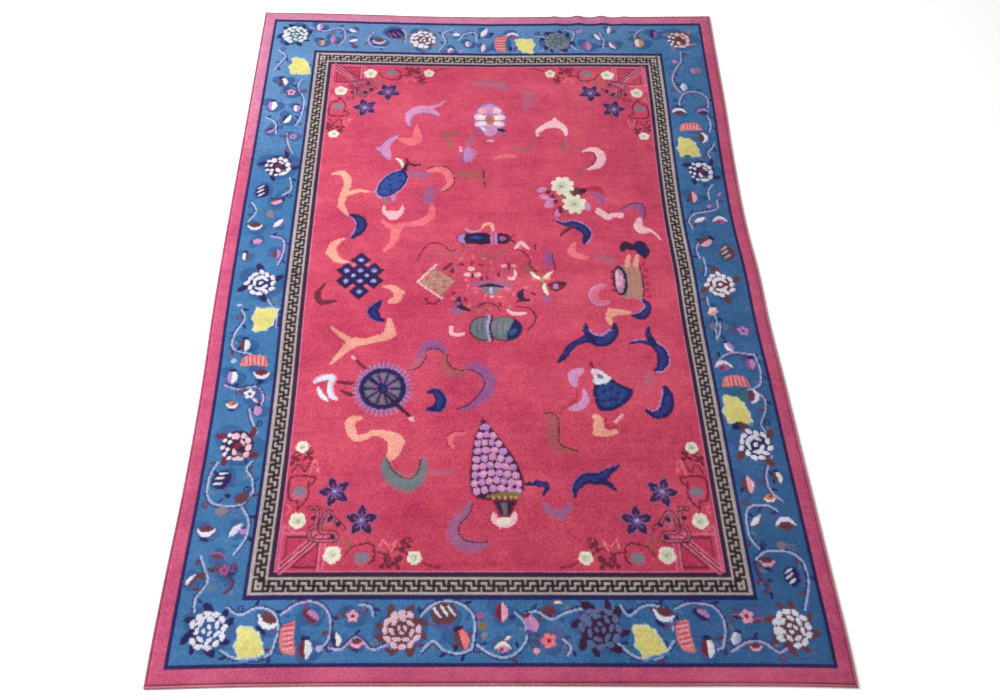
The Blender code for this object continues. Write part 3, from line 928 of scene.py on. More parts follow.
    ("blush", (), (53, 22.6, 1.8), (52.2, 20, 3.4), (53, 17.9, 3.2), (56, 17.6, 1.2), (58, 15.8, 0.8),
     (59.2, 13.8, 0.6)),
    ("navy", ("lilac", 1), (22.3, 22, 0.8), (25, 20.4, 1.4), (28.6, 20.2, 3), (32, 18.4, 3.6),
     (33.4, 15.6, 3), (31.9, 12.2, 1.2)),
    ("wine", (), (23.7, 14.9, 0.9), (25.4, 17, 1.2), (28.4, 19, 1.4)),
    ("salmon", (), (28.6, 12, 1.2), (27.2, 9, 2.8), (28.8, 6.8, 2.6), (32.4, 6, 1.2)),
    ("dusk", (), (36, 6.2, 1.4), (39.4, 5.6, 3), (41.4, 3, 1.4)),
    ("mauve", (), (19, 8.6, 1.4), (19.1, 5.4, 2.8), (18.6, 2.6, 1.4)),
    ("wine", (), (20.4, 8, 0.5), (20.6, 4, 0.5), (21.6, 0.8, 0.4)),
    ("dusk", (), (-5.5, 89.4, 2), (-1.5, 90.4, 4), (3.5, 89.2, 4.6), (6.5, 87, 2)),
    ("dusk", (), (13.4, 84, 1.6), (15.6, 82, 4.4), (14.2, 78.4, 3.4), (12.6, 76, 1)),
    # thin loops round the things in the middle
    ("wine", (), (-25.4, 4, 0.4), (-24.6, 7.6, 0.5), (-21.6, 11.6, 0.6), (-17.6, 11.4, 0.5),
     (-14.6, 8.6, 0.5), (-12.6, 9.4, 0.4)),
    ("bark", (), (-22.6, 3.4, 0.5), (-21, 7, 0.9), (-18.4, 9.4, 0.6), (-15.4, 7.4, 0.9), (-12, 7.2, 0.5),
     (-9.6, 9.6, 0.5)),
    ("bark", (), (-5.4, 9.8, 0.5), (-4, 7.4, 1), (-0.8, 6.4, 1.4), (2.6, 7.8, 1), (5, 10.2, 0.5)),
    ("wine", (), (5.4, 9.8, 0.4), (9.4, 9, 0.5), (12.6, 5.4, 0.5), (12.2, 2.6, 0.9), (14.4, 0.4, 0.9)),
    ("wine", (), (14.6, 11.2, 0.7), (14.7, 9.2, 0.7)),
    ("bark", (), (4.6, 2.4, 0.5), (6.6, 0.2, 0.9), (9.6, -0.6, 0.6), (12, -2.4, 0.5)),
    ("wine", (), (-22.4, -10.8, 0.6), (-21.6, -12.6, 0.5), (-19.4, -12.8, 0.5), (-18, -11.2, 0.5)),
    ("olive", (), (-9.8, -13.6, 0.4), (-7.4, -16, 0.5), (-5, -14.2, 0.5), (-3.4, -15.8, 0.5),
     (-1.6, -14, 0.4)),
    ("wine", (), (6.8, -14.2, 0.4), (11, -14.2, 0.5), (13.4, -17, 0.6), (12.8, -20.2, 0.5),
     (10.6, -22.8, 0.5)),
    ("wine", (), (-5.4, -14, 0.5), (-2.6, -12.4, 0.6), (0.6, -13.6, 0.5), (2, -16, 0.4)),
)
FADED = ("mist", "mauve", "dusk", "thistle", "bark", "lilac")
FRAYED_SHARE = 0.45
FRAYED_TO = 1.25
FRAYED_BEYOND = 0.5
SOUND_CORE = 0.8
NAVY_CORE = 0.45
KNOB_OUT = 0.42


def scaled(points, share, more=0.0):
    """The points of a ribbon, with its widths made larger or smaller."""
    return [(x, y, share * width + more) for x, y, width in points]


def peach_knob(pen, points):
    """A round knob on the outside of a peach ribbon, where it is widest."""
    x, y, width = max(points, key=lambda point: point[2])
    away = np.array([x, y]) - (np.array(points[0][:2]) + points[-1][:2]) / 2
    x, y = np.array([x, y]) + away / max(np.hypot(*away), 1) * KNOB_OUT * width
    pen.oval(x, y, 1.1, 1, "peach")


def flying_ribbons(chart):
    """Every ribbon and cloud: faded ones fray at their edges, navy ones have a core, peach ones a knob."""
    pen = Pen(chart, 0, 0)
    scatter = np.random.default_rng(FRAY_SEED).random(chart.yarn.shape) < FRAYED_SHARE
    for yarn, line, *points in RIBBONS:
        if yarn in FADED:
            chart.sparse = scatter
            pen.ribbon(scaled(points, FRAYED_TO, FRAYED_BEYOND), yarn)
            chart.sparse = None
            pen.ribbon(scaled(points, SOUND_CORE), yarn, *line)
        else:
            pen.ribbon(points, yarn, *line)
        if yarn == "navy":
            pen.ribbon(scaled(points[1:-1], NAVY_CORE), "royal_shade")
        if yarn == "peach":
            peach_knob(pen, points)


# The emblems


def diamonds(pen, places, rx, ry, yarn):
    for x, y in places:
        pen.shape([(x - rx, y), (x, y + ry), (x + rx, y), (x, y - ry)], yarn, sharp=True)


def endless_knot(pen):
    """Navy cord laced through itself, with pale eyes."""
    cells = [(0, y) for y in (6.5, 2.15, -2.15, -6.5)] + [(x, y) for x in (-4.7, 4.7) for y in (2.15, -2.15)]
    between = ((-2.35, 0), (2.35, 0))
    diamonds(pen, cells, 3.5, 3.3, "plum")
    diamonds(pen, cells, 2.7, 2.5, "navy")
    diamonds(pen, between, 1.9, 1.8, "navy")
    pen.ovals("lavender", 0.7, 0.7, 0, *between)
    for x, y in cells:
        pen.oval(x, y, 1.1, 1, "violet")
        pen.oval(x + 0.1, y - 0.1, 0.7, 0.6, "lavender")
    pen.ovals("lilac", 0.55, 0.5, 0, (-2.5, -4.4), (-2.5, 4.4), (2.5, -4.4), (2.5, 4.4))


def wheel(pen):
    """The wheel of the law: a navy rim, ten spokes, rays outside and a spear across."""
    pen.oval(0, 0, 8.7, 8.6, "thistle")
    pen.rays(36, 7.2, 9.2, "lilac", 0.45)
    pen.oval(0, 0, 7.3, 7.2, "navy")
    pen.oval(0, 0, 5.7, 5.6, "slate")
    pen.petals(10, 3.3, 5.3, 1, "grey", 18)
    pen.petals(10, 1.8, 3.4, 0.7, "mauve", 18)
    pen.rays(10, 1, 5.8, "navy", 0.65)
    pen.oval(0, 0, 1.6, 1.6, "navy")
    pen.oval(0, 0, 0.7, 0.7, "deep_blue")
    pen.line([(-8.4, 9.6), (-5.6, 7)], "wine", 0.9)
    pen.line([(-3.9, 3.9), (0, 0)], "navy", 0.9)
    pen.line([(0.6, -1.4), (4.8, -5.8), (8.6, -9.4)], "plum", 1.1, sharp=True)
    pen.oval(-9.5, 10.8, 1.1, 0.55, "pink", -45)
    pen.oval(9.3, -10.4, 1.1, 0.8, "pink", -45)


FISH_TURN = -37
FISH_MIDDLE = (-1.2, 0.2)


def fish_pair(pen):
    """Two blue fish side by side, heads up, with lilac fins and speckled scales."""
    for x, y, turn in ((-5.6, -5.6, 130), (-0.4, -6.4, 80), (-6.4, -3.6, 170)):
        pen.oval(x, y, 1.5, 0.8, "lilac", turn)
    pen.oval(*FISH_MIDDLE, 4.4, 7.6, "lilac", FISH_TURN)
    pen.ribbon([(1.4, 4.2, 3.2), (2.8, 6.4, 1.8), (3.4, 7.8, 1)], "navy")
    pen.oval(-1.1, 0.3, 3.9, 7.1, "navy", FISH_TURN)
    pen.oval(*FISH_MIDDLE, 3.2, 6.2, "royal", FISH_TURN)
    for i in range(6):
        row = at_angle(4.8 - 1.9 * i, FISH_TURN + 90, *FISH_MIDDLE)
        for side in (-1.9, -0.1, 1.7):
            yarn = "deep_blue" if (i + round(side)) % 3 else "navy"
            pen.oval(*at_angle(side, FISH_TURN, *row), 0.7, 0.45, yarn, 20 + 30 * i)
    pen.line([(3, 7.8), (4.4, 9.6), (6.6, 9), (8.6, 9.4)], "plum", 1.4, end=0.6)
    pen.line([(4.2, 9.4), (3.6, 11.8)], "wine", 1.2)
    pen.oval(-3.4, -7.8, 1.2, 0.7, "grey")


CROWN_OUTLINE = (
    (-3.9, 2), (-3.2, 3.7), (-2.2, 0.7), (1.9, 0.6), (3.1, 3.4),
    (4, 1.8), (3.2, -0.8), (1, -3.4), (-0.8, -3.4), (-3.6, -0.4),
)


def white_crown(pen):
    """A pale pink crown of three points."""
    pen.shape(CROWN_OUTLINE, "blush", sharp=True)


def double_blossom(pen):
    """Two many-petalled ivory flowers joined at a neck, with pink petals and a dark knot beside."""
    pen.oval(3.4, -0.6, 2.6, 2.6, "brown")
    pen.oval(6.2, 0.4, 1.3, 1.2, "plum")
    pen.oval(0.2, -2.4, 1.9, 3.4, "olive", -20)
    for x, y, r in ((-1.3, 2.6, 1), (2.6, -5.8, 1.02)):
        pen.petals(8, 1.5 * r, 4.5 * r, 2.4 * r, "ivory", 22, x, y)
        pen.oval(x, y, 3.1 * r, 3.1 * r, "ivory")
        pen.oval(x - 0.2, y, 2.2 * r, 2.2 * r, "celadon")
        pen.oval(x - 0.3, y - 0.2, 0.9 * r, 0.7 * r, "moss_grey")
    pen.line([(-0.8, 0.4), (1.4, -3.4)], "ivory", 2.4)
    for x, y, turn in ((-9, 0.6, 20), (-8.2, -2.6, -20), (-6.2, -4.6, 30), (-6.8, -6.6, 0), (-3.6, -9.8, 60)):
        pen.oval(x, y, 1.9, 1.1, "orchid", turn)
    pen.oval(7.4, -7, 1.1, 1.9, "orchid")
    pen.ovals("wine", 0.9, 0.9, 0, (-6.8, -0.4), (-5.2, -2.4), (-4.2, -4.6), (-2.6, -7.8), (-2.6, -9.2))


def canopy(pen):
    """A ribbed silk canopy on its side, its round mouth to the left and its fringe to the right."""
    pen.shape([(-5, 4.6), (-1.5, 6.4), (2.4, 6), (2.8, -6.6), (-1, -7.2), (-5, -5.8)], "tan_rose")
    for x in (-2.4, -0.6, 1.2):
        pen.ribbon([(x, 5.6, 0.4), (x + 0.6, 0, 0.5), (x, -6.4, 0.4)], "tan")
    pen.ribbon([(-3, 5.2, 0.8), (-2.2, 0, 1.2), (-3, -6.2, 0.8)], "grey")
    for y in (2.6, -0.6, -3.8):
        pen.line([(-3.2, y), (2.4, y)], "tan_rose", 0.4)
    pen.line([(2.9, 6), (3.4, 0), (2.9, -6.8)], "wine", 0.5)
    for i in range(6):
        pen.oval(4.3 + 0.6 * (i % 2), 6.4 - 2.6 * i, 1, 0.75, "crimson", 20)
    pen.oval(-4.4, -0.2, 2.5, 6, "fret_dark")
    pen.oval(-4.6, -0.2, 1.7, 5, "lilac")
    pen.oval(-4.9, 0.6, 1, 3.4, "blush")
    pen.line([(-4.4, 3.6), (-4.7, -0.4), (-4.4, -4.2)], "tan_rose", 0.5)
    pen.ovals("wine", 0.7, 0.6, 0, (-6.8, 3.4), (-6.8, 0.8), (-6.8, -1.6), (-6.8, -4))
    for x in (-1.4, 1.6):
        pen.ribbon([(x, 6, 1.8), (x + 0.5, 8.2, 1.6), (x + 1.2, 10.2, 1)], "peach")
    crown = [(-2.4, 12.4, 1.6), (-0.9, 14.4, 3.2), (1.6, 13.6, 2.6), (4.4, 14.8, 3.2), (6, 12, 2.6)]
    pen.ribbon(crown + [(5, 9.4, 1.4)], "plum")
    pen.oval(4.2, 12.6, 1.9, 2.6, "navy", 20)


def parasol(pen):
    """A blue parasol, leaning, with a white top."""
    pen.line([(-4.9, 9), (-4.2, 7)], "wine", 1)
    rim = [(-4.6, 1.4), (0.6, 3.6), (3.4, 1.9), (7.6, -0.6), (4.6, -5), (-0.6, -7.6), (-4.2, -6.2)]
    silk = [(-3.4, 0.4), (0.4, 2.2), (3, 0.9), (5.6, -1), (3.4, -4.2), (-0.6, -6.2), (-3.2, -5)]
    pen.shape(rim, "navy")
    pen.shape(silk, "prussian")
    for x, y in ((-1.6, -0.8), (0.8, 0.4), (2.8, -1.4), (0.2, -3.4), (-1.8, -4.2), (1.8, -3.6)):
        pen.oval(x, y, 0.75, 0.5, "navy", 40)
        pen.oval(x + 1, y - 0.8, 0.6, 0.35, "deep_blue", -30)
    pen.shape([(-5.2, 6.6), (-2.4, 6.8), (0.9, 3.8), (-1.2, 2), (-4.4, 1.9), (-4.4, 4.6)], "white")
    pen.oval(-2.4, 4.4, 1.1, 0.7, "grey", -30)
    pen.oval(-4, 5.8, 1, 0.8, "blush")


CONCH_SIDES = (
    # y, left side, right side
    (-3.4, -4.6, 5.4),
    (0.6, -7.2, 8.4),
    (8, -6.9, 6.2),
    (15, -5.9, 1.8),
    (18.6, -4.7, -0.9),
    (21.4, -3.6, -3.2),
)
CONCH_FOOT = ((-0.5, -8.2, 1.3), (-0.2, -9.8, 2.2), (2.4, -11, 2.6), (4.8, -9.8, 2.2), (5.3, -8.2, 1.3))


def conch_scales(pen):
    """Rows of pale scales, each with a light tip, that fill the shell from side to side."""
    at, lefts, rights = zip(*CONCH_SIDES)
    for row in range(9):
        y = 19 - 2.4 * row
        left = np.interp(y, at, lefts)
        wide = np.interp(y, at, rights) - left
        count = max(1, round(wide / 2.3))
        for i in range(count):
            x = left + (i + 0.5) / count * wide
            low = y - 0.16 * abs(x - left - wide / 2)
            pen.oval(x, low, 0.49 * wide / count, 1.12, "orchid" if (row + 2 * i) % 3 else "lilac")
            pen.oval(x + 0.1, low + 0.3, 0.55, 0.4, "pink" if (row + i) % 2 else "orchid")


def conch(pen):
    """A conch, point away, of scale rows over a collar, a dark stem and a pale foot."""
    outline = [(x, y) for y, x, _ in CONCH_SIDES[::-1]] + [(x, y) for y, _, x in CONCH_SIDES]
    pen.shape(outline, "plum", "wine", False, 0.5)
    conch_scales(pen)
    pen.ribbon([(-2.4, -2.9, 0.7), (-0.4, -2.5, 1.2), (3.4, -2.1, 2), (6.8, -2.6, 1.4)], "olive")
    pen.ovals("tan", 0.5, 0.6, 0, (-0.6, -3.2), (1.2, -3.2), (2.8, -3.2), (4.4, -3.2), (5.8, -3.2))
    pen.shape([(-0.6, -4.2), (6.2, -4), (4, -8.6), (1.6, -8.6)], "plum", "wine", True, 0.5)
    pen.shape([(1.4, -4.8), (3.4, -4.8), (3.2, -8.4), (2.2, -8.4)], "slate", sharp=True)
    pen.ribbon(CONCH_FOOT, "blush")
    pen.oval(2.4, -10.2, 2.2, 1.1, "ivory")


LOTUS_OUTLINE = (
    (0, 9.4), (-3.2, 7.8), (-5.4, 4.6), (-6, 0.6), (-5.2, -3), (-2.6, -6),
    (0, -8.6), (2.6, -6), (5.2, -3), (6, 0.8), (5.4, 4.6), (3, 7.8),
)
LOTUS_PETALS = (
    # x and turn on the right side, y, half width, half length, yarn on the right, yarn on the left
    (0, 0, -5, 2.7, 3.1, "orchid", "orchid"),
    (2.5, -30, 5.2, 1.9, 1.8, "blush", "pink"),
    (0, 0, 6.4, 1.5, 2.2, "orchid", "orchid"),
    (3.5, 0, 1.8, 2.4, 1.6, "blush", "blush"),
    (3.3, -14, -1.7, 2.4, 1.4, "blush", "blush"),
    (3, 0, 1.6, 1.5, 0.9, "ivory", "ivory"),
    (2.8, -14, -1.5, 1.5, 0.8, "white", "white"),
)


def lotus(pen):
    """A lotus flower from the front: pale petals round a tan heart, over a lilac base."""
    pen.shape(LOTUS_OUTLINE, "lilac", "thistle", False, 0.7)
    for x, turn, y, rx, ry, right, left in LOTUS_PETALS:
        pen.oval(-x, y, rx, ry, left, -turn)
        pen.oval(x, y, rx, ry, right, turn)
    pen.oval(-2.5, -4.5, 0.5, 1.6, "white", 40)
    pen.oval(0, 0.6, 1.9, 2.7, "tan_rose")
    for i in range(8):
        x, y = at_angle(1, 22 + 45 * i)
        pen.line([(0.3 * x, 0.6 + 0.3 * y), (1.7 * x, 0.6 + 2.4 * y)], "bark", 0.4)
    pen.ovals("grey", 0.8, 0.4, 0, (-2.3, 3.3), (2.3, 3.3), (-4.6, 0), (4.6, 0))
    pen.oval(4.2, -4.9, 1.7, 0.9, "plum", -20)
    pen.oval(4.4, -6.8, 2.4, 0.9, "mauve", -20)
    pen.oval(-4.6, -6, 1.4, 0.9, "thistle", -20)
    pen.oval(0, -10.4, 1.6, 0.5, "pink")


# Scholars' things in the middle


def scroll_case(pen):
    """A navy lute in its case, tied with lilac bands, and a pale knot of cord beside it."""
    pen.shape([(-12.6, 0), (-11.4, 1.8), (-9, 2.2), (-9, -2.2), (-11.4, -1.8)], "lilac", "brown")
    pen.shape([(-10, 1.4), (-8.4, 2.2), (-1.6, 2.1), (-1.6, -2.1), (-8.4, -2.2), (-10, -1.4)], "plum")
    pen.oval(-5.8, 0.1, 3.4, 1.4, "navy")
    pen.oval(-6.2, 0.4, 2, 0.6, "royal")
    pen.shape([(1, 2.1), (4.4, 2), (6, 0.4), (6, -0.6), (4.4, -2), (1, -2.1)], "plum")
    pen.oval(3, 0.1, 1.3, 1, "mauve")
    for x in (-0.8, 0.7):
        pen.line([(x, 2.3), (x, -2.3)], "lilac", 0.8)
    for y in (1.8, -1.8):
        pen.line([(5.6, 0), (7.2, y)], "wine", 0.8)
    pen.line([(-9.8, 4.2), (-8.2, 3.2), (-6.6, 3), (-5.2, 3.4), (-4, 4.4)], "orchid", 0.8)
    pen.ribbon([(-4, 5, 0.7), (-2.6, 6.3, 1.3), (-0.8, 6.2, 1.3), (-0.4, 3.4, 0.6)], "peach")
    tassel = [(7.4, -4, 0.9), (8.4, -2.8, 1.4), (9.6, -1.8, 1.6), (10.8, -3, 1.4), (12, -4.2, 0.8)]
    pen.ribbon(tassel, "blush")


BOARD_YARNS = ("tan", "olive", "bark", "tan", "salmon", "tan_rose", "moss_grey")


def game_board(pen):
    """A tan board set cornerwise, figured all over and edged in pink."""
    pen.shape([(-7, 0.4), (-1.4, 6.2), (5.6, 0.4), (0.2, -6)], "tan_rose", sharp=True)
    for i in range(5):
        for j in range(5):
            yarn = BOARD_YARNS[(2 * i + 3 * j) % len(BOARD_YARNS)]
            pen.oval(-5.2 + 1.15 * (i + j), 0.3 + 1.15 * (i - j), 0.62, 0.42, yarn, 45)
    pen.line([(-1.4, 6.2), (5.6, 0.4), (0.2, -6)], "bark", 0.4, sharp=True)
    pen.line([(0.8, -6.4), (-7.2, 0.2), (-1.2, 7.2)], "blush", 0.7, sharp=True)
    pen.line([(1.4, 5.2), (3.8, 7.6)], "wine", 1.1)
    pen.oval(4.2, 4.4, 0.5, 0.9, "wine")
    pen.oval(5.6, 5.6, 0.9, 1.5, "dusk", 20)


def incense_bowl(pen):
    """A footed bowl with flowers above it."""
    pen.ribbon([(-6.8, 0.8, 0.8), (-4, 1.4, 1.8), (0, 1.2, 2.2), (4.4, 1, 1.8), (7, 0.2, 0.9)], "thistle")
    pen.ribbon([(-6.4, -0.8, 0.7), (-3.6, -0.6, 1.2), (4, -0.6, 1.2), (6.8, -1.2, 0.7)], "cerise")
    pen.ribbon([(-3.8, -0.2, 0.7), (-1.6, 0.5, 1.1), (1.6, 0.5, 1.1), (4.2, -0.2, 0.7)], "plum")
    pen.shape([(-2.8, -0.4), (3, -0.4), (1.6, -3), (-1.4, -3)], "grey")
    pen.oval(0.2, -1.4, 0.6, 1.3, "silver")
    pen.oval(-1.2, -1.6, 0.5, 0.9, "mauve")
    pen.oval(0.4, -3.9, 0.7, 0.6, "pink")
    for x, y in ((-6.4, 7.1), (-7.7, 4.8), (-4.2, 4.7)):
        pen.oval(x, y, 1.15, 0.95, "blush")
        pen.oval(x - 0.4, y + 0.4, 0.6, 0.4, "peach")
    pen.ovals("wine", 0.55, 0.95, 0, (-6, 4.4), (-1, 3.4), (2.8, 4.8), (-2.8, 3))
    pen.ribbon([(8.4, 6.6, 0.6), (8.6, 4.8, 1), (7.4, 3, 1), (5.8, 3.4, 0.5)], "blush")
    pen.line([(6.3, 9.4), (6.3, 7.2)], "wine", 0.8)
    pen.oval(4.6, 8.4, 1.1, 0.6, "pink")
    pen.oval(8.1, 8.4, 1.1, 0.6, "peach")


def flower_spray(pen):
    """Ivory leaves and a dark fungus on a short stem."""
    pen.line([(-4.6, 7), (-2.6, 4.6), (0.4, 0.6), (0.8, -2.2)], "olive", 0.7)
    pen.ribbon([(-5.4, 7.4, 0.7), (-4.6, 5.4, 1.8), (-3.2, 4.6, 1)], "bark")
    pen.ribbon([(-3, 3.6, 0.7), (-1.8, 2.2, 1.3), (-0.4, 1.2, 0.8)], "ivory")
    pen.ribbon([(1.2, 1.2, 0.8), (2.6, 2.4, 1.2), (4.4, 4, 0.6)], "ivory")
    pen.ribbon([(1.4, -1.2, 1), (1.4, -3, 1.4), (2.2, -5, 0.7)], "ivory")
    pen.oval(0.6, 0.6, 1, 0.8, "tan")
    pen.oval(2.6, 1.2, 0.9, 0.6, "peach")
    pen.shape([(2.6, -1.2), (5, 0), (6.8, 0.2), (9.2, -0.8), (7, -3.4), (4.8, -4), (3.2, -2.8)], "wine")
    pen.oval(5.2, -2, 0.9, 1.1, "lilac")
    pen.line([(6.2, -0.6), (8.4, -1)], "plum", 0.6)
    pen.oval(1.8, -7.2, 1.9, 1.1, "thistle")
    pen.oval(2.2, -6.4, 1, 0.5, "mauve")
    pen.ribbon([(-5.8, -3.4, 0.8), (-7.2, -5.2, 1.6), (-6.6, -7, 1.8), (-4.2, -7.6, 0.9)], "plum")
    pen.oval(-6.6, -5.6, 0.9, 1.1, "navy")


def fruit_boxes(pen):
    """Two lidded oval boxes, one before the other."""
    pen.oval(-3.9, -0.1, 4.9, 4.7, "brown")
    pen.oval(-3.9, 0, 4.2, 4.1, "mist")
    pen.oval(-4.6, 1, 2.6, 2, "grey")
    pen.oval(3, -0.1, 5.8, 4.8, "brown")
    pen.oval(2.8, 0.1, 5.2, 4.2, "mist")
    pen.oval(1.2, 0.6, 2.6, 2.4, "grey")
    pen.shape([(6.4, 3.4), (8.6, 0.8), (7.2, -2.8), (4.2, -4.2), (3.4, -2.4), (4.6, 0)], "navy")
    pen.oval(5.4, -1.4, 1.6, 1, "deep_blue", 40)
    pen.line([(-1.3, 4.6), (-1.9, 0), (-1.3, -4.6)], "plum", 0.7)
    pen.line([(-2, 4.6), (-2.7, 0), (-2, -4.6)], "lavender", 0.9)
    for x in (-5.8, -4.2, 0.6, 2.6):
        pen.line([(x, 3.4), (x - 0.3, 0), (x, -3.2)], "teal", 0.35)
    pen.ribbon([(4, 7, 0.7), (6, 5.6, 1.3), (9.8, 5.8, 0.9)], "blush")


def brush_rest(pen):
    """A dark forked rest with a lilac shadow, and a pale hook below it."""
    pen.oval(-0.8, -2.6, 2.6, 1.7, "thistle", -20)
    pen.ribbon([(0.2, 2.6, 0.6), (-0.4, 0.6, 2.2), (0.6, -1.2, 1.7), (3.6, -2.8, 0.7)], "plum")
    pen.oval(-0.6, 0, 1.1, 0.8, "mauve")
    pen.line([(-2.6, -9), (-2.4, -11.4), (-0.4, -12), (1.2, -11.4)], "blush", 1.2)


EMBLEMS = (
    # what draws it, x, y, size unless 1
    (endless_knot, -44.5, -1.8, 0.98),
    (wheel, -35.3, -44),
    (fish_pair, -34.4, 38),
    (white_crown, -34.7, 25),
    (double_blossom, 27.2, 35),
    (canopy, 47.4, -3.2),
    (parasol, 35.2, -44),
    (conch, -1, -76),
    (lotus, -0.4, 69.8),
    (scroll_case, 0.2, 13.8),
    (game_board, -18.2, -4.4),
    (incense_bowl, -1.3, -6),
    (flower_spray, 15.6, -3.8),
    (fruit_boxes, 0.2, -22.2),
    (brush_rest, -11.6, -12.8),
)


# The field's corners, drawn as the near left one and turned over for the rest

CORNER_HOOKS = (
    # yarn, width, then x and y along the hook
    ("wine", 0.6, (-54.4, -74.4), (-53.6, -72.2), (-60.4, -72.2), (-60.4, -78.4), (-58, -79.6),
     (-57.4, -82)),
    ("wine", 0.6, (-55.3, -73.4), (-55, -78), (-57.2, -81.4)),
    ("wine", 0.6, (-43, -95.6), (-41, -92.6), (-35.6, -92), (-35, -96.6), (-39, -98)),
    ("wine", 0.6, (-35.2, -94), (-31.4, -94.6), (-28.6, -93.2), (-25.6, -94.8)),
    ("wine", 0.45, (-60.4, -70.6), (-58.6, -68), (-56.8, -70.4), (-55.4, -67.6)),
    ("olive", 0.45, (-45.4, -91.6), (-43, -90.4), (-41.4, -91.8), (-42.4, -93.4)),
    ("salmon", 0.45, (-33.4, -93), (-32.6, -90.6), (-31, -92.6), (-29, -91), (-30.2, -94)),
    ("salmon", 0.45, (-55.2, -71), (-54.4, -68.6), (-52.6, -70.6), (-53.8, -66.8), (-55, -68.4)),
    ("salmon", 0.45, (-60.6, -80.6), (-59.6, -81.6), (-60.4, -83)),
)
CORNER_MEANDER = (
    (-54.2, -81.4), (-52, -81.8), (-51.9, -86.2), (-53.2, -87.6), (-52.8, -90.6), (-46.3, -90.8),
    (-46.3, -88.8), (-50.4, -88.2), (-49.9, -83.6), (-48.2, -82.6), (-46.2, -85.2), (-43.8, -87.4),
)
CORNER_CURLS = (
    # x, y, turn
    (-60.2, -66.8, 0),
    (-56.2, -65.6, 90),
    (-26.6, -92.6, 0),
    (-28.6, -97.4, 180),
    (-31.6, -97.6, 90),
)
PLUM_FLOWERS = (
    # x, y, size
    (-58.2, -62.6, 0.9),
    (-57.2, -85.2, 1.12),
    (-46.4, -95, 1.18),
    (-23.8, -95.8, 0.95),
)
SQUARE_RIM = ((-60.9, -86.4), (-60.9, -99.6), (-48.6, -99.6), (-48.6, -89), (-57, -89))
STAR_PETAL = ((0.2, 0), (1.5, 1.4), (3, 1.35), (4.8, 0.1), (3.2, -1.2), (1.6, -1.25))


def striped_square(pen):
    """A square cut by a striped band, with a triangle on either side of it."""
    pen.shape(SQUARE_RIM, None, "cerise", True, 0.6)
    pen.shape([(-60.9, -89), (-60.9, -99.6), (-50, -99.6), (-50, -89)], "rose", "cerise", True, 0.6)
    pen.shape([(-59.4, -89.9), (-52.6, -89.9), (-59.4, -96.4)], "deep_rose", "wine", True, 0.5)
    pen.shape([(-50.6, -91.6), (-50.6, -98.4), (-57.4, -98.4)], "deep_rose", "wine", True, 0.5)
    for shift in (-1.4, 0, 1.4):
        yarn = "cerise" if shift else "pale_rose"
        pen.line([(-60.4, -98.8 + shift), (-51, -89.8 + shift)], yarn, 0.7)
    for shift in (-0.7, 0.7):
        pen.line([(-60.4, -98.8 + shift), (-51, -89.8 + shift)], "wine", 0.45)


def plum_flower(pen, x, y, size):
    """An ivory flower with a green heart, as broad as it is long."""
    pen.petals(5, 0.2, 2.2 * size, 2.2 * size, "ivory", 54, x, y)
    pen.oval(x, y, 1.7 * size, 1.6 * size, "ivory")
    pen.oval(x, y, 1.1 * size, size, "celadon")
    pen.oval(x + 0.2, y - 0.1, 0.5 * size, 0.4 * size, "moss_grey")


def star_flower(pen, x, y, turn):
    """A starry flower: five broad pointed dark petals, veined in blue round a blue heart."""
    for petal in range(turn, turn + 360, 72):
        outline = [at_angle(out, petal, *at_angle(side, petal + 90, x, y)) for out, side in STAR_PETAL]
        pen.shape(outline, "plum", "mauve", False, 0.4)
        pen.oval(*at_angle(1.9, petal, x, y), 1.4, 0.6, "indigo", petal)
        pen.line([at_angle(0.7, petal, x, y), at_angle(2.2, petal, x, y)], "violet", 0.5)
    pen.oval(x, y, 1.1, 1.1, "violet")
    pen.oval(x - 0.2, y + 0.2, 0.5, 0.5, "lavender")


def field_corner(pen):
    """One corner: a striped square, hooks, a meander, flowers and curls."""
    striped_square(pen)
    for yarn, width, *points in CORNER_HOOKS:
        pen.line(points, yarn, width)
    pen.oval(-48.6, -84.4, 2.6, 2.4, "dusk")
    pen.line(CORNER_MEANDER, "wine", 1.35)
    pen.line(CORNER_MEANDER, "dusk", 0.5)
    for x, y, size in ((-47.9, -84.6, 1), (-45.6, -86.2, 0.9), (-52.9, -84.4, 0.7), (-46.9, -89.9, 0.7)):
        pen.oval(x, y, 1.1 * size, 0.8 * size, "plum", 40)
    for x, y, turn in CORNER_CURLS:
        pen.petals(3, 0.1, 1.9, 1.2, "wine", turn, x, y)
        curl(pen, x + 0.6, y + 1.5, 1.2, turn, "wine", 0.6)
    for x, y, rx in ((-57.6, -76.4, 2), (-38.2, -95.6, 2.2)):
        pen.oval(x, y - 0.8, rx, 1.7, "dusk")
        pen.oval(x, y, rx, 1.36, "grey")
    for x, y, size in PLUM_FLOWERS:
        plum_flower(pen, x, y, size)
    star_flower(pen, -47.4, -76.6, 35)
    star_flower(pen, -39, -85.2, 90)
    pen.line([(-21.5, -97), (-19, -98.2), (-16.6, -98.4)], "wine", 0.5)


# Crumbs, stray tufts, and painted light and shade in the plain wools

LOOSE = 110
LOOSE_YARNS = ("dusk", "bark", "deep_rose", "tan_rose", "salmon", "thistle", "wine", "bark")
LOOSE_MIDDLE = (-3, -1)
LOOSE_REACH = (21, 15)
GOLDEN_ANGLE = 137.50776
LOOSE_TURN = 57
FUZZY_SHARE = 0.10
FUZZY_WITHIN = (59, 97)
# Painted light and shade: the paler border and blue towards the far end and the left stand for light, and the
# deeper blue towards the right and the deeper rose towards the near end for shade; the deeper blue is partly
# uneven dye as well.
LIGHT_AND_SHADE_WOOLS = (
    # wool, the paler or deeper yarn it turns to, growth of that yarn's share to the right and to the far end,
    # share in the middle
    ("rose", "rose_deep", 0, -0.012, -0.4),
    ("border_rose", "border_pale", -0.008, 0.022, -1.6),
    ("blue", "blue_pale", -0.008, 0.022, -1.6),
    ("blue", "blue_deep", 0.012, -0.004, -0.3),
)


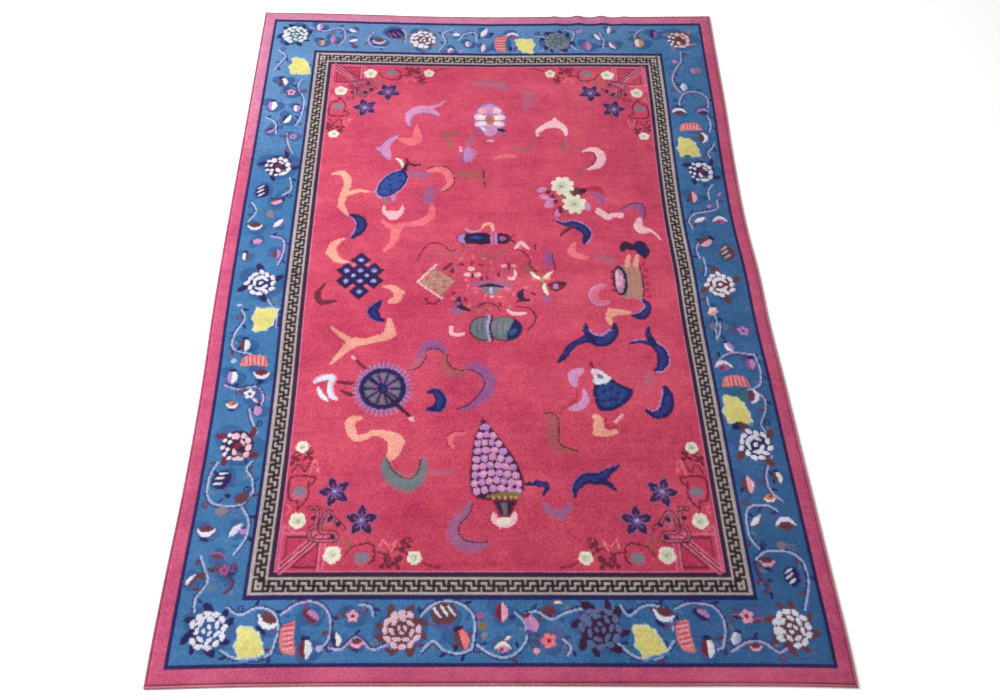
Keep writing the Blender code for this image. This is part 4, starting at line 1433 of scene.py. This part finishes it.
def loose_petals(chart):
    """Small petals and crumbs of incense strewn among the things in the middle."""
    pen = Pen(chart, *LOOSE_MIDDLE)
    for i in range(LOOSE):
        x, y = at_angle(math.sqrt((i + 0.5) / LOOSE), GOLDEN_ANGLE * i)
        yarn = LOOSE_YARNS[i % len(LOOSE_YARNS)]
        pen.oval(LOOSE_REACH[0] * x, LOOSE_REACH[1] * y, 0.95, 0.42, yarn, LOOSE_TURN * i)


def fuzzy_edges(chart):
    """Edges within the field where some tufts stray over their neighbours, as in worn wool."""
    rng = np.random.default_rng(STRAY_SEED)
    rows, cols = np.indices(chart.yarn.shape)
    strays = rng.random(chart.yarn.shape) < FUZZY_SHARE
    strays &= (np.abs(chart.x) < FUZZY_WITHIN[0]) & (np.abs(chart.y) < FUZZY_WITHIN[1])[:, None]
    rows = rows + rng.integers(-1, 2, chart.yarn.shape) * strays
    cols = cols + rng.integers(-1, 2, chart.yarn.shape) * strays
    chart.yarn = chart.yarn[rows, cols]


def paint_light_and_shade(chart):
    """The plain wools turn, knot by knot, to paler yarn as painted light towards the far end and the left,
    and to deeper yarn as painted shade towards the right and the near end; the deeper blue is partly uneven
    dye too.
    """
    rng = np.random.default_rng(PAINTED_LIGHT_SEED)
    x, y = np.meshgrid(chart.x, chart.y)
    for yarn, painted_yarn, rightwards, farwards, middle in LIGHT_AND_SHADE_WOOLS:
        share = rightwards * x + farwards * y + middle
        changed = (chart.yarn == DYES.index(yarn)) & (rng.random(x.shape) < share)
        chart.yarn[changed] = DYES.index(painted_yarn)


def four_corners(chart):
    """The corner turned over for the right side and the far end, a little further along at each end."""
    for along, shift in ((1, -0.9), (-1, -0.6)):
        for across in (1, -1):
            pen = Pen(chart, 0, shift)
            pen.across *= across
            pen.along *= along
            field_corner(pen)


def weave(chart):
    """The whole design, from the bands to the smallest flowers."""
    bands(chart)
    peony_border(chart)
    flying_ribbons(chart)
    four_corners(chart)
    for emblem, *place in EMBLEMS:
        emblem(Pen(chart, *place))
    chart.bare = "rose"
    loose_petals(chart)
    chart.bare = None
    fuzzy_edges(chart)
    # Painted light and shade, in paler and deeper wool
    paint_light_and_shade(chart)
    key_fret(chart)


# How the rug lies on the floor, as its solids do

# Drawn-in outline in millimetres, at places in millimetres from the middle of the rug
SIDE_DRAWN_IN = (
    # place along the length, left side, right side
    (-1300, 0, 0),
    (-1200, 0, 0),
    (-1000, 4, 5),
    (-800, 10, 10),
    (-600, 12, 15),
    (-400, 10, 20),
    (-200, 4, 27),
    (0, 1, 27),
    (200, 0, 35),
    (500, 0, 30),
    (800, 0, 17),
    (1000, 0, 12),
    (1300, 0, 3),
)
END_DRAWN_IN = (
    # place across the width, near end, far end
    (-915, 0, 0),
    (-700, 5, 3),
    (-500, 7, 8),
    (-300, 7, 15),
    (-100, 7, 18),
    (0, 7, 18),
    (200, 6, 14),
    (400, 5, 10),
    (600, 5, 8),
    (800, 3, 3),
    (915, 0, 0),
)
MILLIMETRE = 0.001
RIPPLES_FROM = 0.24
RIPPLES_TO = 0.58
RIPPLE_PITCH = 0.10
RIPPLE_IN = 0.0035
RIPPLE_RISE = 0.0030
RIPPLE_REACH = 0.07
COCKLE = 0.0008
COCKLE_ACROSS = (7.1, 2.0)
COCKLE_ALONG = (-1.7, 5.3)
FOLD_DEPTH = 0.0010
FOLD_WIDTH = 0.03
FOLDS_AT = (-0.48, 0.0)
RIM_INSETS = (0.0, 0.004, 0.014)
RIM_SHARES = (0.62, 0.90, 1.0)
PILE_HALF_W = WIDTH / 2 - CORD - GAP
PILE_HALF_L = LENGTH / 2 - CORD - GAP

# The pile's own unevenness, in metres
SEED = 11
TUFT_UNEVEN = 0.00022
KNOT_STRAY = 0.00030
DARK_SUNK = 0.00045
CARVED = 0.00040
SKIRT_OUT = 0.00015
SKIRT_HEIGHT = 0.0015
BACK_HEIGHT = 0.0006
DARK_YARNS = ("navy", "plum", "wine", "brown", "fret_dark")
BACK_CELL = 3
BRUSHED = 0.30
HALF_OF_MAP = 0.5
HALF_FILLED = 0.495

# Overcasting of the edges
CORD_SIDES = 8
SIDE_WRAP = 0.0042
SIDE_VALLEY = 0.84
SIDE_SLANT = 0.30
END_WRAP = 0.0044
END_VALLEY = 0.86
END_SLANT = -0.25
LUMP_FROM = 0.013
LUMP_TO = 0.020
LUMP_SLACK = 0.14
LEAST_SLACK = 0.3
LUMP_WIDTH = 0.0035
SIDE_STOP = 0.008
END_STOP = 0.0002
SIDE_TAPER = 0.7
END_TAPER = 0.6
SIDE_WOOL = (0.46, 0.082, 0.155, 1.0)
SIDE_SHADOW = (0.24, 0.065, 0.09, 1.0)
END_WOOL = (0.44, 0.080, 0.145, 1.0)
END_SHADOW = (0.20, 0.07, 0.075, 1.0)


def eased(table, column, place):
    """A smooth curve through one column of a table, at places in metres."""
    at, value = np.array(table)[:, (0, column)].T * MILLIMETRE
    slope = np.gradient(value, at)
    i = np.clip(np.searchsorted(at, place) - 1, 0, len(at) - 2)
    run = at[i + 1] - at[i]
    t = np.clip((place - at[i]) / run, 0.0, 1.0)
    return flow(t, value[i], run * slope[i], value[i + 1], run * slope[i + 1])


def ripple(x, y):
    """From -1 to 1: the wave that runs in from the far end and dies away."""
    across = np.clip((x - RIPPLES_FROM) / (RIPPLES_TO - RIPPLES_FROM), 0.0, 1.0)
    wave = np.sin(2 * math.pi * (x - RIPPLES_FROM) / RIPPLE_PITCH)
    inside = np.maximum(PILE_HALF_L - y, 0.0)
    return wave * np.abs(np.sin(math.pi * across)) ** 0.5 * np.exp(-inside / RIPPLE_REACH)


def lie(x, y):
    """Where points of the woven rectangle lie on the floor."""
    side = np.where(x > 0, eased(SIDE_DRAWN_IN, 2, y), eased(SIDE_DRAWN_IN, 1, y))
    end = np.where(y > 0, eased(END_DRAWN_IN, 2, x), eased(END_DRAWN_IN, 1, x))
    new_x = x - x / (WIDTH / 2) * side
    new_y = y - np.sign(y) * (np.abs(y) / (LENGTH / 2)) ** 2 * end
    return new_x, new_y + RIPPLE_IN * ripple(x, y)


def tip_height(x, y):
    """The height of the pile's tips, rounded off at the rim."""
    cockle = np.sin(COCKLE_ACROSS[0] * x + COCKLE_ACROSS[1] * y)
    cockle = cockle * np.sin(COCKLE_ALONG[0] * x + COCKLE_ALONG[1] * y)
    fold = sum(np.exp(-(((x - at) / FOLD_WIDTH) ** 2)) for at in FOLDS_AT)
    rise = np.maximum(RIPPLE_RISE * ripple(x, y), -COCKLE)
    inset = np.minimum(PILE_HALF_W - np.abs(x), PILE_HALF_L - np.abs(y))
    share = np.interp(inset, RIM_INSETS, RIM_SHARES)
    return (PILE_HEIGHT + COCKLE * cockle - FOLD_DEPTH * fold + rise) * share


# Meshes


def dyed():
    """The yarns' colours as the light values that a shader works with."""
    share = np.array(list(YARNS.values())) / 255.0
    light = np.where(share <= 0.04045, share / 12.92, ((share + 0.055) / 1.055) ** 2.4)
    return np.concatenate([light, np.ones((len(light), 1))], axis=1)


def sheet_mesh(name, x, y, z):
    """A sheet of four-sided faces through a grid of places."""
    rows, cols = x.shape
    first = (np.arange(rows - 1)[:, None] * cols + np.arange(cols - 1)).ravel()
    corners = np.stack([first, first + 1, first + cols + 1, first + cols], axis=-1)
    mesh = bpy.data.meshes.new(name)
    mesh.vertices.add(rows * cols)
    mesh.vertices.foreach_set("co", np.stack([x, y, z], axis=-1).astype(np.float32).ravel())
    mesh.loops.add(corners.size)
    mesh.loops.foreach_set("vertex_index", corners.astype(np.int32).ravel())
    mesh.polygons.add(len(corners))
    mesh.polygons.foreach_set("loop_start", np.arange(0, corners.size, 4, dtype=np.int32))
    mesh.update(calc_edges=True)
    mesh.shade_smooth()
    return mesh


def paint(mesh, name, kind, domain, values):
    """An attribute of a mesh, such as the dye of each knot."""
    data = mesh.attributes.new(name, kind, domain).data
    data.foreach_set("color" if kind == "FLOAT_COLOR" else "value", values.astype(np.float32).ravel())


def with_skirt(half, knots):
    """Places of the knots' corners in one direction, and of the skirt just outside them."""
    corners = np.linspace(-half, half, knots + 1)
    return np.concatenate([[-half - SKIRT_OUT], corners, [half + SKIRT_OUT]])


def pile_places(chart, rng):
    """Where every knot's corners lie, with grooves where the yarn changes and dark wool worn lower."""
    x, y = np.meshgrid(with_skirt(PILE_HALF_W, KNOTS_ACROSS), with_skirt(PILE_HALF_L, KNOTS_ALONG))
    stray = np.zeros((2,) + x.shape)
    stray[:, 2:-2, 2:-2] = rng.normal(0, KNOT_STRAY, (2, x.shape[0] - 4, x.shape[1] - 4))
    around = np.pad(chart.yarn, 1, mode="edge")
    dark = np.isin(around, [DYES.index(yarn) for yarn in DARK_YARNS]) * DARK_SUNK
    sunk = (dark[:-1, :-1] + dark[1:, :-1] + dark[:-1, 1:] + dark[1:, 1:]) / 4
    changes = (around[:-1, :-1] != around[1:, 1:]) | (around[1:, :-1] != around[:-1, 1:])
    z = np.full(x.shape, SKIRT_HEIGHT)
    tips = tip_height(x[1:-1, 1:-1], y[1:-1, 1:-1]) + rng.normal(0, TUFT_UNEVEN, changes.shape)
    z[1:-1, 1:-1] = tips - sunk - CARVED * changes
    lie_x, lie_y = lie(x + stray[0], y + stray[1])
    return lie_x, lie_y, z


def folded_in_two(mesh, rows, cols):
    """Lays a winding out for its texture as two halves, one above the other."""
    row, col = np.divmod(np.arange(rows * cols), cols)
    half = cols // 2
    right = col >= half
    u = (col - right * half)[:, None] + np.array([0, 1, 1, 0])
    v = row[:, None] + np.array([0, 0, 1, 1])
    places = np.stack([u / half, right[:, None] * HALF_OF_MAP + v / rows * HALF_FILLED], axis=-1)
    layer = mesh.uv_layers.new(name="OFBake")
    layer.data.foreach_set("uv", places.astype(np.float32).ravel())


def blended(colours):
    """Each tuft takes up some of the colour of the four beside it, whose fibres it is brushed into."""
    around = np.pad(colours, ((1, 1), (1, 1), (0, 0)), mode="edge")
    beside = around[:-2, 1:-1] + around[2:, 1:-1] + around[1:-1, :-2] + around[1:-1, 2:]
    return colours * (1.0 - BRUSHED) + beside / 4 * BRUSHED


def pile_windings(chart, wool):
    """The pile, as the lengths between two turns of the loom's beam, one tuft for each knot."""
    rng = np.random.default_rng(SEED)
    x, y, z = pile_places(chart, rng)
    yarn = np.pad(chart.yarn, 1, mode="edge")
    tuft = rng.random(yarn.shape)
    colours = blended(dyed()[yarn])
    each = KNOTS_ALONG // WINDINGS
    pieces = []
    for number in range(WINDINGS):
        first = number * each + (1 if number else 0)
        last = (number + 1) * each + (2 if number == WINDINGS - 1 else 1)
        name = "pile_winding_%d" % (number + 1)
        rows = slice(first, last + 1)
        mesh = sheet_mesh(name, x[rows], y[rows], z[rows])
        faces = slice(first, last)
        paint(mesh, "dye", "FLOAT_COLOR", "FACE", colours[faces])
        paint(mesh, "tuft", "FLOAT", "FACE", tuft[faces])
        folded_in_two(mesh, last - first, yarn.shape[1])
        pieces.append(place(name, mesh, wool))
    return pieces


def woven_back(chart, wool):
    """The back of the knots, where the pattern shows softly between the wefts."""
    cols = KNOTS_ACROSS // BACK_CELL + 1
    rows = KNOTS_ALONG // BACK_CELL
    x, y = np.meshgrid(
        np.linspace(-PILE_HALF_W, PILE_HALF_W, cols + 1),
        np.linspace(-PILE_HALF_L, PILE_HALF_L, rows + 1),
    )
    colours = dyed()[chart.yarn]
    total = np.zeros((rows + 1, cols + 1, 4))
    for row_shift, col_shift in np.ndindex(BACK_CELL, BACK_CELL):
        row = np.clip(np.arange(rows + 1) * BACK_CELL + row_shift - 1, 0, KNOTS_ALONG - 1)
        col = np.clip(np.arange(cols + 1) * BACK_CELL + col_shift - 1, 0, KNOTS_ACROSS - 1)
        total += colours[row[:, None], col]
    rise = np.maximum(RIPPLE_RISE * ripple(x, y), 0.0)
    lie_x, lie_y = lie(x, y)
    flat = sheet_mesh("woven_back", lie_x[:, ::-1], lie_y, (BACK_HEIGHT + rise)[:, ::-1])
    paint(flat, "dye", "FLOAT_COLOR", "POINT", total[:, ::-1] / BACK_CELL**2)
    return place("woven_back", flat, wool)


def overcast_tube(name, route, radii, slant, upright, wool):
    """Wool wound round a cord along its route. upright is true for a cord that runs away from the camera."""
    bm = bmesh.new()
    rings = []
    for (x, y, z), radius in zip(route, radii):
        ring = []
        for side in range(CORD_SIDES):
            angle = 2 * math.pi * side / CORD_SIDES
            out = radius * math.cos(angle)
            up = z + radius * math.sin(angle)
            spot = (x + out, y + slant * out, up) if upright else (x + slant * out, y + out, up)
            ring.append(bm.verts.new(spot))
        rings.append(ring)
    for near, far in zip(rings, rings[1:]):
        for i in range(CORD_SIDES):
            bm.faces.new((near[i - 1], near[i], far[i], far[i - 1]))
    bm.faces.new(rings[0])
    bm.faces.new(rings[-1])
    bmesh.ops.recalc_face_normals(bm, faces=bm.faces)
    mesh = bpy.data.meshes.new(name)
    bm.to_mesh(mesh)
    bm.free()
    mesh.shade_smooth()
    return place(name, mesh, wool)


def wraps(half, pitch, valley):
    """Places along a cord, on and between its wraps, and the cord's radius at each."""
    count = round(2 * half / pitch) * 2
    return np.linspace(-half, half, count + 1), CORD / 2 * np.where(np.arange(count + 1) % 2, 1.0, valley)


def side_overcasting(name, side, wool):
    """One selvedge cord with its slanting wraps. side is -1 left, 1 right."""
    y, radii = wraps(LENGTH / 2 - SIDE_STOP, SIDE_WRAP, SIDE_VALLEY)
    x, y = lie(np.full(y.shape, side * (WIDTH / 2 - CORD / 2)), y)
    radii[[0, -1]] *= SIDE_TAPER
    route = [(px, py, CORD / 2) for px, py in zip(x, y)]
    return overcast_tube(name, route, radii, SIDE_SLANT, True, wool)


def lumps(x, rng):
    """Shares of an end cord's radius: the wool bunches up unevenly along the turned web."""
    at = -WIDTH / 2
    middles = []
    while at < WIDTH / 2:
        at += rng.uniform(LUMP_FROM, LUMP_TO)
        middles.append(at)
    slack = rng.uniform(LEAST_SLACK, 1.0, len(middles)) * LUMP_SLACK
    away = np.abs(x[:, None] - np.array(middles))
    return 1.0 - slack[away.argmin(axis=1)] * np.exp(-((away.min(axis=1) / LUMP_WIDTH) ** 2))


def end_overcasting(name, end, wool):
    """One overcast end. end is -1 near, 1 far."""
    woven_x, radii = wraps(WIDTH / 2 - END_STOP, END_WRAP, END_VALLEY)
    woven_y = np.full(woven_x.shape, end * (LENGTH / 2 - CORD / 2))
    x, y = lie(woven_x, woven_y)
    rise = np.maximum(RIPPLE_RISE * ripple(woven_x, woven_y), 0.0)
    radii *= lumps(woven_x, np.random.default_rng(SEED + end))
    radii[[0, -1]] *= END_TAPER
    route = [(px, py, radius + lift) for px, py, radius, lift in zip(x, y, radii, rise)]
    return overcast_tube(name, route, radii, END_SLANT, False, wool)


def put(name, data):
    """A new object in the scene."""
    made = bpy.data.objects.new(name, data)
    bpy.context.scene.collection.objects.link(made)
    return made


def place(name, mesh, wool):
    """A piece of the rug in its own finish, riding on the one body."""
    mesh.materials.append(wool)
    piece = put(name, mesh)
    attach(piece, "root")
    return piece


# Finishes

COLOUR = "NodeSocketColor"
VALUE = "NodeSocketFloat"
GREY = (0.5, 0.5, 0.5, 1.0)
DUST = (0.6, 0.5, 0.5, 1.0)
PILE_DUST = (0.40, 0.26, 0.28, 1.0)
BACK_DUST = (0.40, 0.34, 0.28, 1.0)
CORD_DUST = (0.30, 0.22, 0.20, 1.0)
COTTON = (0.52, 0.46, 0.36, 1.0)
FLOOR_SHADE = (0.93, 0.93, 0.93, 1.0)
FLOOR_LIGHT = (0.96, 0.96, 0.955, 1.0)

# The length of one wave of the wave texture at a scale of 1
WAVE = 0.314


def feed(tree, socket, value):
    """Links an output to a socket, or sets a plain value there."""
    if isinstance(value, bpy.types.NodeSocket):
        tree.links.new(value, socket)
    else:
        socket.default_value = value


def fill(tree, node, **values):
    """Feeds the sockets of a node by name. A name's underscore stands for a space."""
    for label, value in values.items():
        feed(tree, node.inputs[label.replace("_", " ")], value)
    return node


def added(tree, kind, **values):
    """A new shader node with its values."""
    return fill(tree, tree.nodes.new("ShaderNode" + kind), **values)


def maths(tree, operation, *values):
    """One step of arithmetic between shader values."""
    made = added(tree, "Math")
    made.operation = operation
    for socket, value in zip(made.inputs, values):
        feed(tree, socket, value)
    return made.outputs[0]


def times(tree, first, second):
    return maths(tree, "MULTIPLY", first, second)


def times_plus(tree, value, share, more):
    return maths(tree, "MULTIPLY_ADD", value, share, more)


def mixed(tree, share, first, second):
    """Two colours mixed."""
    made = added(tree, "Mix")
    made.data_type = "RGBA"
    for socket, value in zip((0, 6, 7), (share, first, second)):
        feed(tree, made.inputs[socket], value)
    return made.outputs[2]


def object_places(tree):
    return added(tree, "TexCoord").outputs["Object"]


def noise(tree, places, scale, detail=2, stretch=(1, 1, 1)):
    """Cloudy values round 0.5, at a scale in turns a metre."""
    stretched = added(tree, "Mapping", Vector=places, Scale=stretch).outputs[0]
    return added(tree, "TexNoise", Vector=stretched, Scale=scale, Detail=detail).outputs["Fac"]


def new_group(name, outputs, **inputs):
    """A shader node group with named inputs and outputs, and its own places on the object."""
    tree = bpy.data.node_groups.new(name, "ShaderNodeTree")
    for label, value in inputs.items():
        kind = COLOUR if isinstance(value, tuple) else VALUE
        socket = tree.interface.new_socket(label.replace("_", " "), in_out="INPUT", socket_type=kind)
        socket.default_value = value
    for label, kind in outputs.items():
        tree.interface.new_socket(label, in_out="OUTPUT", socket_type=kind)
    given = tree.nodes.new("NodeGroupInput").outputs
    result = tree.nodes.new("NodeGroupOutput")
    return tree, given, result, object_places(tree)


def either_way(tree, value, middle, amount):
    """How far a value is above or below its middle, by an amount."""
    return times(tree, maths(tree, "SUBTRACT", value, middle), amount)


def uneven_dye_group():
    """Dye lots that change along the length, soft blotches, and each tuft a little its own."""
    tree, given, result, places = new_group(
        "uneven_dye", {"Colour": COLOUR}, Colour=GREY, Streaks=0.1, Blotches=0.1, Tufts=0.1, Tuft=0.5
    )
    streaks = noise(tree, places, 9, 3, (0.12, 1, 1))
    fine_streaks = noise(tree, places, 90, 2, (0.05, 1, 1))
    blotches = noise(tree, places, 5, 4)
    mottle = noise(tree, places, 34, 3, (0.7, 1, 1))
    from_streaks = either_way(tree, times_plus(tree, fine_streaks, 0.5, streaks), 0.75, given["Streaks"])
    from_blotches = either_way(tree, times_plus(tree, mottle, 0.7, blotches), 0.85, given["Blotches"])
    from_tufts = either_way(tree, given["Tuft"], 0.5, given["Tufts"])
    total = maths(tree, "ADD", maths(tree, "ADD", from_streaks, from_blotches), from_tufts)
    tone = added(
        tree,
        "HueSaturation",
        Color=given["Colour"],
        Value=times_plus(tree, total, 2.0, 1.0),
        Hue=times_plus(tree, from_blotches, 0.06, 0.5),
        Saturation=times_plus(tree, total, -0.4, 1.0),
    )
    fill(tree, result, Colour=tone.outputs[0])
    return tree


def wool_fibres_group():
    """The cut ends of yarn: small tips that stand up, with finer fibres on them."""
    tree, given, result, places = new_group("wool_fibres", {"Height": VALUE}, Tips=500.0, Fibre_Share=0.4)
    tips = added(tree, "TexVoronoi", Vector=places, Scale=given["Tips"])
    fibres = noise(tree, places, times(tree, given["Tips"], 2.6), 3)
    down = times(tree, tips.outputs["Distance"], -1.0)
    fill(tree, result, Height=times_plus(tree, fibres, given["Fibre Share"], down))
    return tree


def tread_wear_group():
    """Wool dulled by feet and dust, in clouds."""
    tree, given, result, places = new_group(
        "tread_wear", {"Colour": COLOUR}, Colour=GREY, Dust_Colour=DUST, Amount=0.1
    )
    clouds = noise(tree, places, 3.2, 5)
    specks = noise(tree, places, 130)
    share = times(tree, times(tree, times(tree, clouds, specks), 3.0), given["Amount"])
    fill(tree, result, Colour=mixed(tree, share, given["Colour"], given["Dust Colour"]))
    return tree


def use(tree, group, **values):
    """A node group placed in a material, with its own values."""
    made = added(tree, "Group")
    made.node_tree = group
    return fill(tree, made, **values).outputs[0]


def bump(tree, height, strength, distance):
    """A bumped normal from a height."""
    return added(tree, "Bump", Height=height, Strength=strength, Distance=distance).outputs[0]


def attribute(tree, name, output):
    made = added(tree, "Attribute")
    made.attribute_name = name
    return made.outputs[output]


def finish_shader(name):
    """A new material and its main shader."""
    material = bpy.data.materials.new(name)
    material.use_nodes = True
    return material, material.node_tree, material.node_tree.nodes["Principled BSDF"]


def knotted_pile(groups):
    """Cut wool pile: the dye of each knot, uneven lots, fibre tips with painted shade between them, and a
    soft sheen.
    """
    material, tree, shader = finish_shader("knotted_pile")
    dye = attribute(tree, "dye", "Color")
    tuft = attribute(tree, "tuft", "Fac")
    dyed_wool = use(tree, groups["dye"], Colour=dye, Streaks=0.20, Blotches=0.24, Tufts=0.14, Tuft=tuft)
    height = use(tree, groups["fibres"], Tips=560.0, Fibre_Share=0.5)
    # Painted shade: the wool is made darker where the fibre height is low, between the tuft tips; 0.69 also
    # sets the pile's overall brightness.
    tone = added(tree, "HueSaturation", Color=dyed_wool, Value=times_plus(tree, height, 0.30, 0.69))
    worn = use(tree, groups["wear"], Colour=tone.outputs[0], Dust_Colour=PILE_DUST, Amount=0.03)
    fill(tree, shader, Base_Color=worn, Normal=bump(tree, height, 0.8, 0.0012), Roughness=0.88)
    fill(tree, shader, Specular_IOR_Level=0.10, Sheen_Weight=0.06, Sheen_Roughness=0.45)
    return material


def thread_wave(tree, direction, distortion):
    """Rows of threads, one for each knot."""
    wave = added(tree, "TexWave", Vector=object_places(tree), Scale=CM / KNOT * WAVE, Distortion=distortion)
    wave.bands_direction = direction
    return wave.outputs["Fac"]


def knotted_back(groups):
    """The flat back: rows of knot loops with cotton weft between them."""
    material, tree, shader = finish_shader("knotted_back")
    threads = times(tree, thread_wave(tree, "Y", 1.2), thread_wave(tree, "X", 1.6))
    dye = attribute(tree, "dye", "Color")
    dyed_wool = use(tree, groups["dye"], Colour=dye, Streaks=0.10, Blotches=0.12, Tufts=0.0)
    cotton = mixed(tree, times_plus(tree, threads, -0.6, 0.6), dyed_wool, COTTON)
    worn = use(tree, groups["wear"], Colour=cotton, Dust_Colour=BACK_DUST, Amount=0.15)
    fibres = use(tree, groups["fibres"], Tips=700.0, Fibre_Share=0.6)
    normal = bump(tree, times_plus(tree, fibres, 0.3, threads), 0.8, 0.0010)
    fill(tree, shader, Base_Color=worn, Normal=normal, Roughness=0.9, Specular_IOR_Level=0.2)
    return material


def overcast_wool(name, groups, colour, shadow, twist):
    """Wrapped wool: fine strands across each wrap, and dust in clouds."""
    material, tree, shader = finish_shader(name)
    places = object_places(tree)
    strands = noise(tree, places, 420, 2, twist)
    base = mixed(tree, times(tree, noise(tree, places, 45, 3), 0.9), colour, shadow)
    dyed_wool = use(tree, groups["dye"], Colour=base, Streaks=0.2, Blotches=0.3, Tufts=0.35, Tuft=strands)
    worn = use(tree, groups["wear"], Colour=dyed_wool, Dust_Colour=CORD_DUST, Amount=0.14)
    fibres = use(tree, groups["fibres"], Tips=800.0, Fibre_Share=0.6)
    normal = bump(tree, times_plus(tree, fibres, 0.35, strands), 0.7, 0.0009)
    fill(tree, shader, Base_Color=worn, Normal=normal)
    fill(tree, shader, Roughness=0.85, Specular_IOR_Level=0.25, Sheen_Weight=0.15)
    return material


def pale_floor():
    """Smooth pale boards under white paper."""
    material, tree, shader = finish_shader("pale_floor")
    colour = mixed(tree, noise(tree, object_places(tree), 0.8, 3), FLOOR_SHADE, FLOOR_LIGHT)
    fill(tree, shader, Base_Color=colour, Roughness=0.8)
    return material


# Floor, light and camera

FLOOR_SIZE = 14.0
DAYLIGHT = (1.0, 0.99, 0.98, 1.0)
DAYLIGHT_STRENGTH = 0.58
LENS = 29.0
SENSOR = 36.0
SHIFT = (0.028, 0.019)
CAMERA_AT = (-0.109, -1.580, 2.197)
CAMERA_AZIMUTH = 1.59
CAMERA_DOWN = 61.05
CAMERA_ROLL = 1.56
LIGHTS = (
    # name, place, size, power
    ("window_side_light", (-3.0, 0.6, 2.9), 2.2, 290.0),
    ("overhead_light", (0.2, 1.6, 4.2), 3.6, 20.0),
)


def floor():
    bm = bmesh.new()
    bmesh.ops.create_grid(bm, x_segments=8, y_segments=8, size=FLOOR_SIZE / 2)
    mesh = bpy.data.meshes.new("floor")
    bm.to_mesh(mesh)
    bm.free()
    mesh.materials.append(pale_floor())
    piece = put("floor", mesh)


def soft_light(name, spot, size, power):
    """A square studio light that faces the middle of the rug."""
    data = bpy.data.lights.new(name, "AREA")
    data.shape = "SQUARE"
    data.size = size
    data.energy = power
    lamp = put(name, data)
    lamp.location = spot
    lamp.rotation_euler = (-Vector(spot)).to_track_quat("-Z", "Y").to_euler()


def camera():
    """The photographer's standing view, over the near end."""
    data = bpy.data.cameras.new("camera")
    data.lens = LENS
    data.sensor_width = SENSOR
    data.shift_x, data.shift_y = SHIFT
    azimuth, down, roll = (math.radians(a) for a in (CAMERA_AZIMUTH, CAMERA_DOWN, CAMERA_ROLL))
    view = Vector((math.sin(azimuth) * math.cos(down), math.cos(azimuth) * math.cos(down), -math.sin(down)))
    level = view.cross(Vector((0, 0, 1))).normalized()
    above = level.cross(view)
    right = level * math.cos(roll) + above * math.sin(roll)
    up = above * math.cos(roll) - level * math.sin(roll)
    turned = Matrix((right, up, -view)).transposed().to_4x4()
    holder = put("camera", data)
    holder.matrix_world = Matrix.Translation(CAMERA_AT) @ turned
    bpy.context.scene.camera = holder


def studio():
    floor()
    for name, spot, size, power in LIGHTS:
        soft_light(name, spot, size, power)
    world = bpy.data.worlds.new("studio")
    world.use_nodes = True
    fill(world.node_tree, world.node_tree.nodes["Background"], Color=DAYLIGHT, Strength=DAYLIGHT_STRENGTH)
    bpy.context.scene.world = world
    bpy.context.scene.view_settings.view_transform = "Standard"
    camera()


def main():
    chart = Chart()
    weave(chart)
    groups = {"dye": uneven_dye_group(), "fibres": wool_fibres_group(), "wear": tread_wear_group()}
    pile = knotted_pile(groups)
    side_wool = overcast_wool("side_overcasting", groups, SIDE_WOOL, SIDE_SHADOW, (1.0, 0.25, 1.0))
    end_wool = overcast_wool("end_overcasting", groups, END_WOOL, END_SHADOW, (0.25, 1.0, 1.0))
    windings = pile_windings(chart, pile)
    back = woven_back(chart, knotted_back(groups))
    for piece in windings + [back]:
        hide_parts("rug_pile")
    for name, side in (("side_cord_left", -1), ("side_cord_right", 1)):
        side_overcasting("overcast_" + name, side, side_wool)
        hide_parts(name)
    for name, end in (("end_cord_near", -1), ("end_cord_far", 1)):
        end_overcasting("overcast_" + name, end, end_wool)
        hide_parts(name)
    studio()


main()
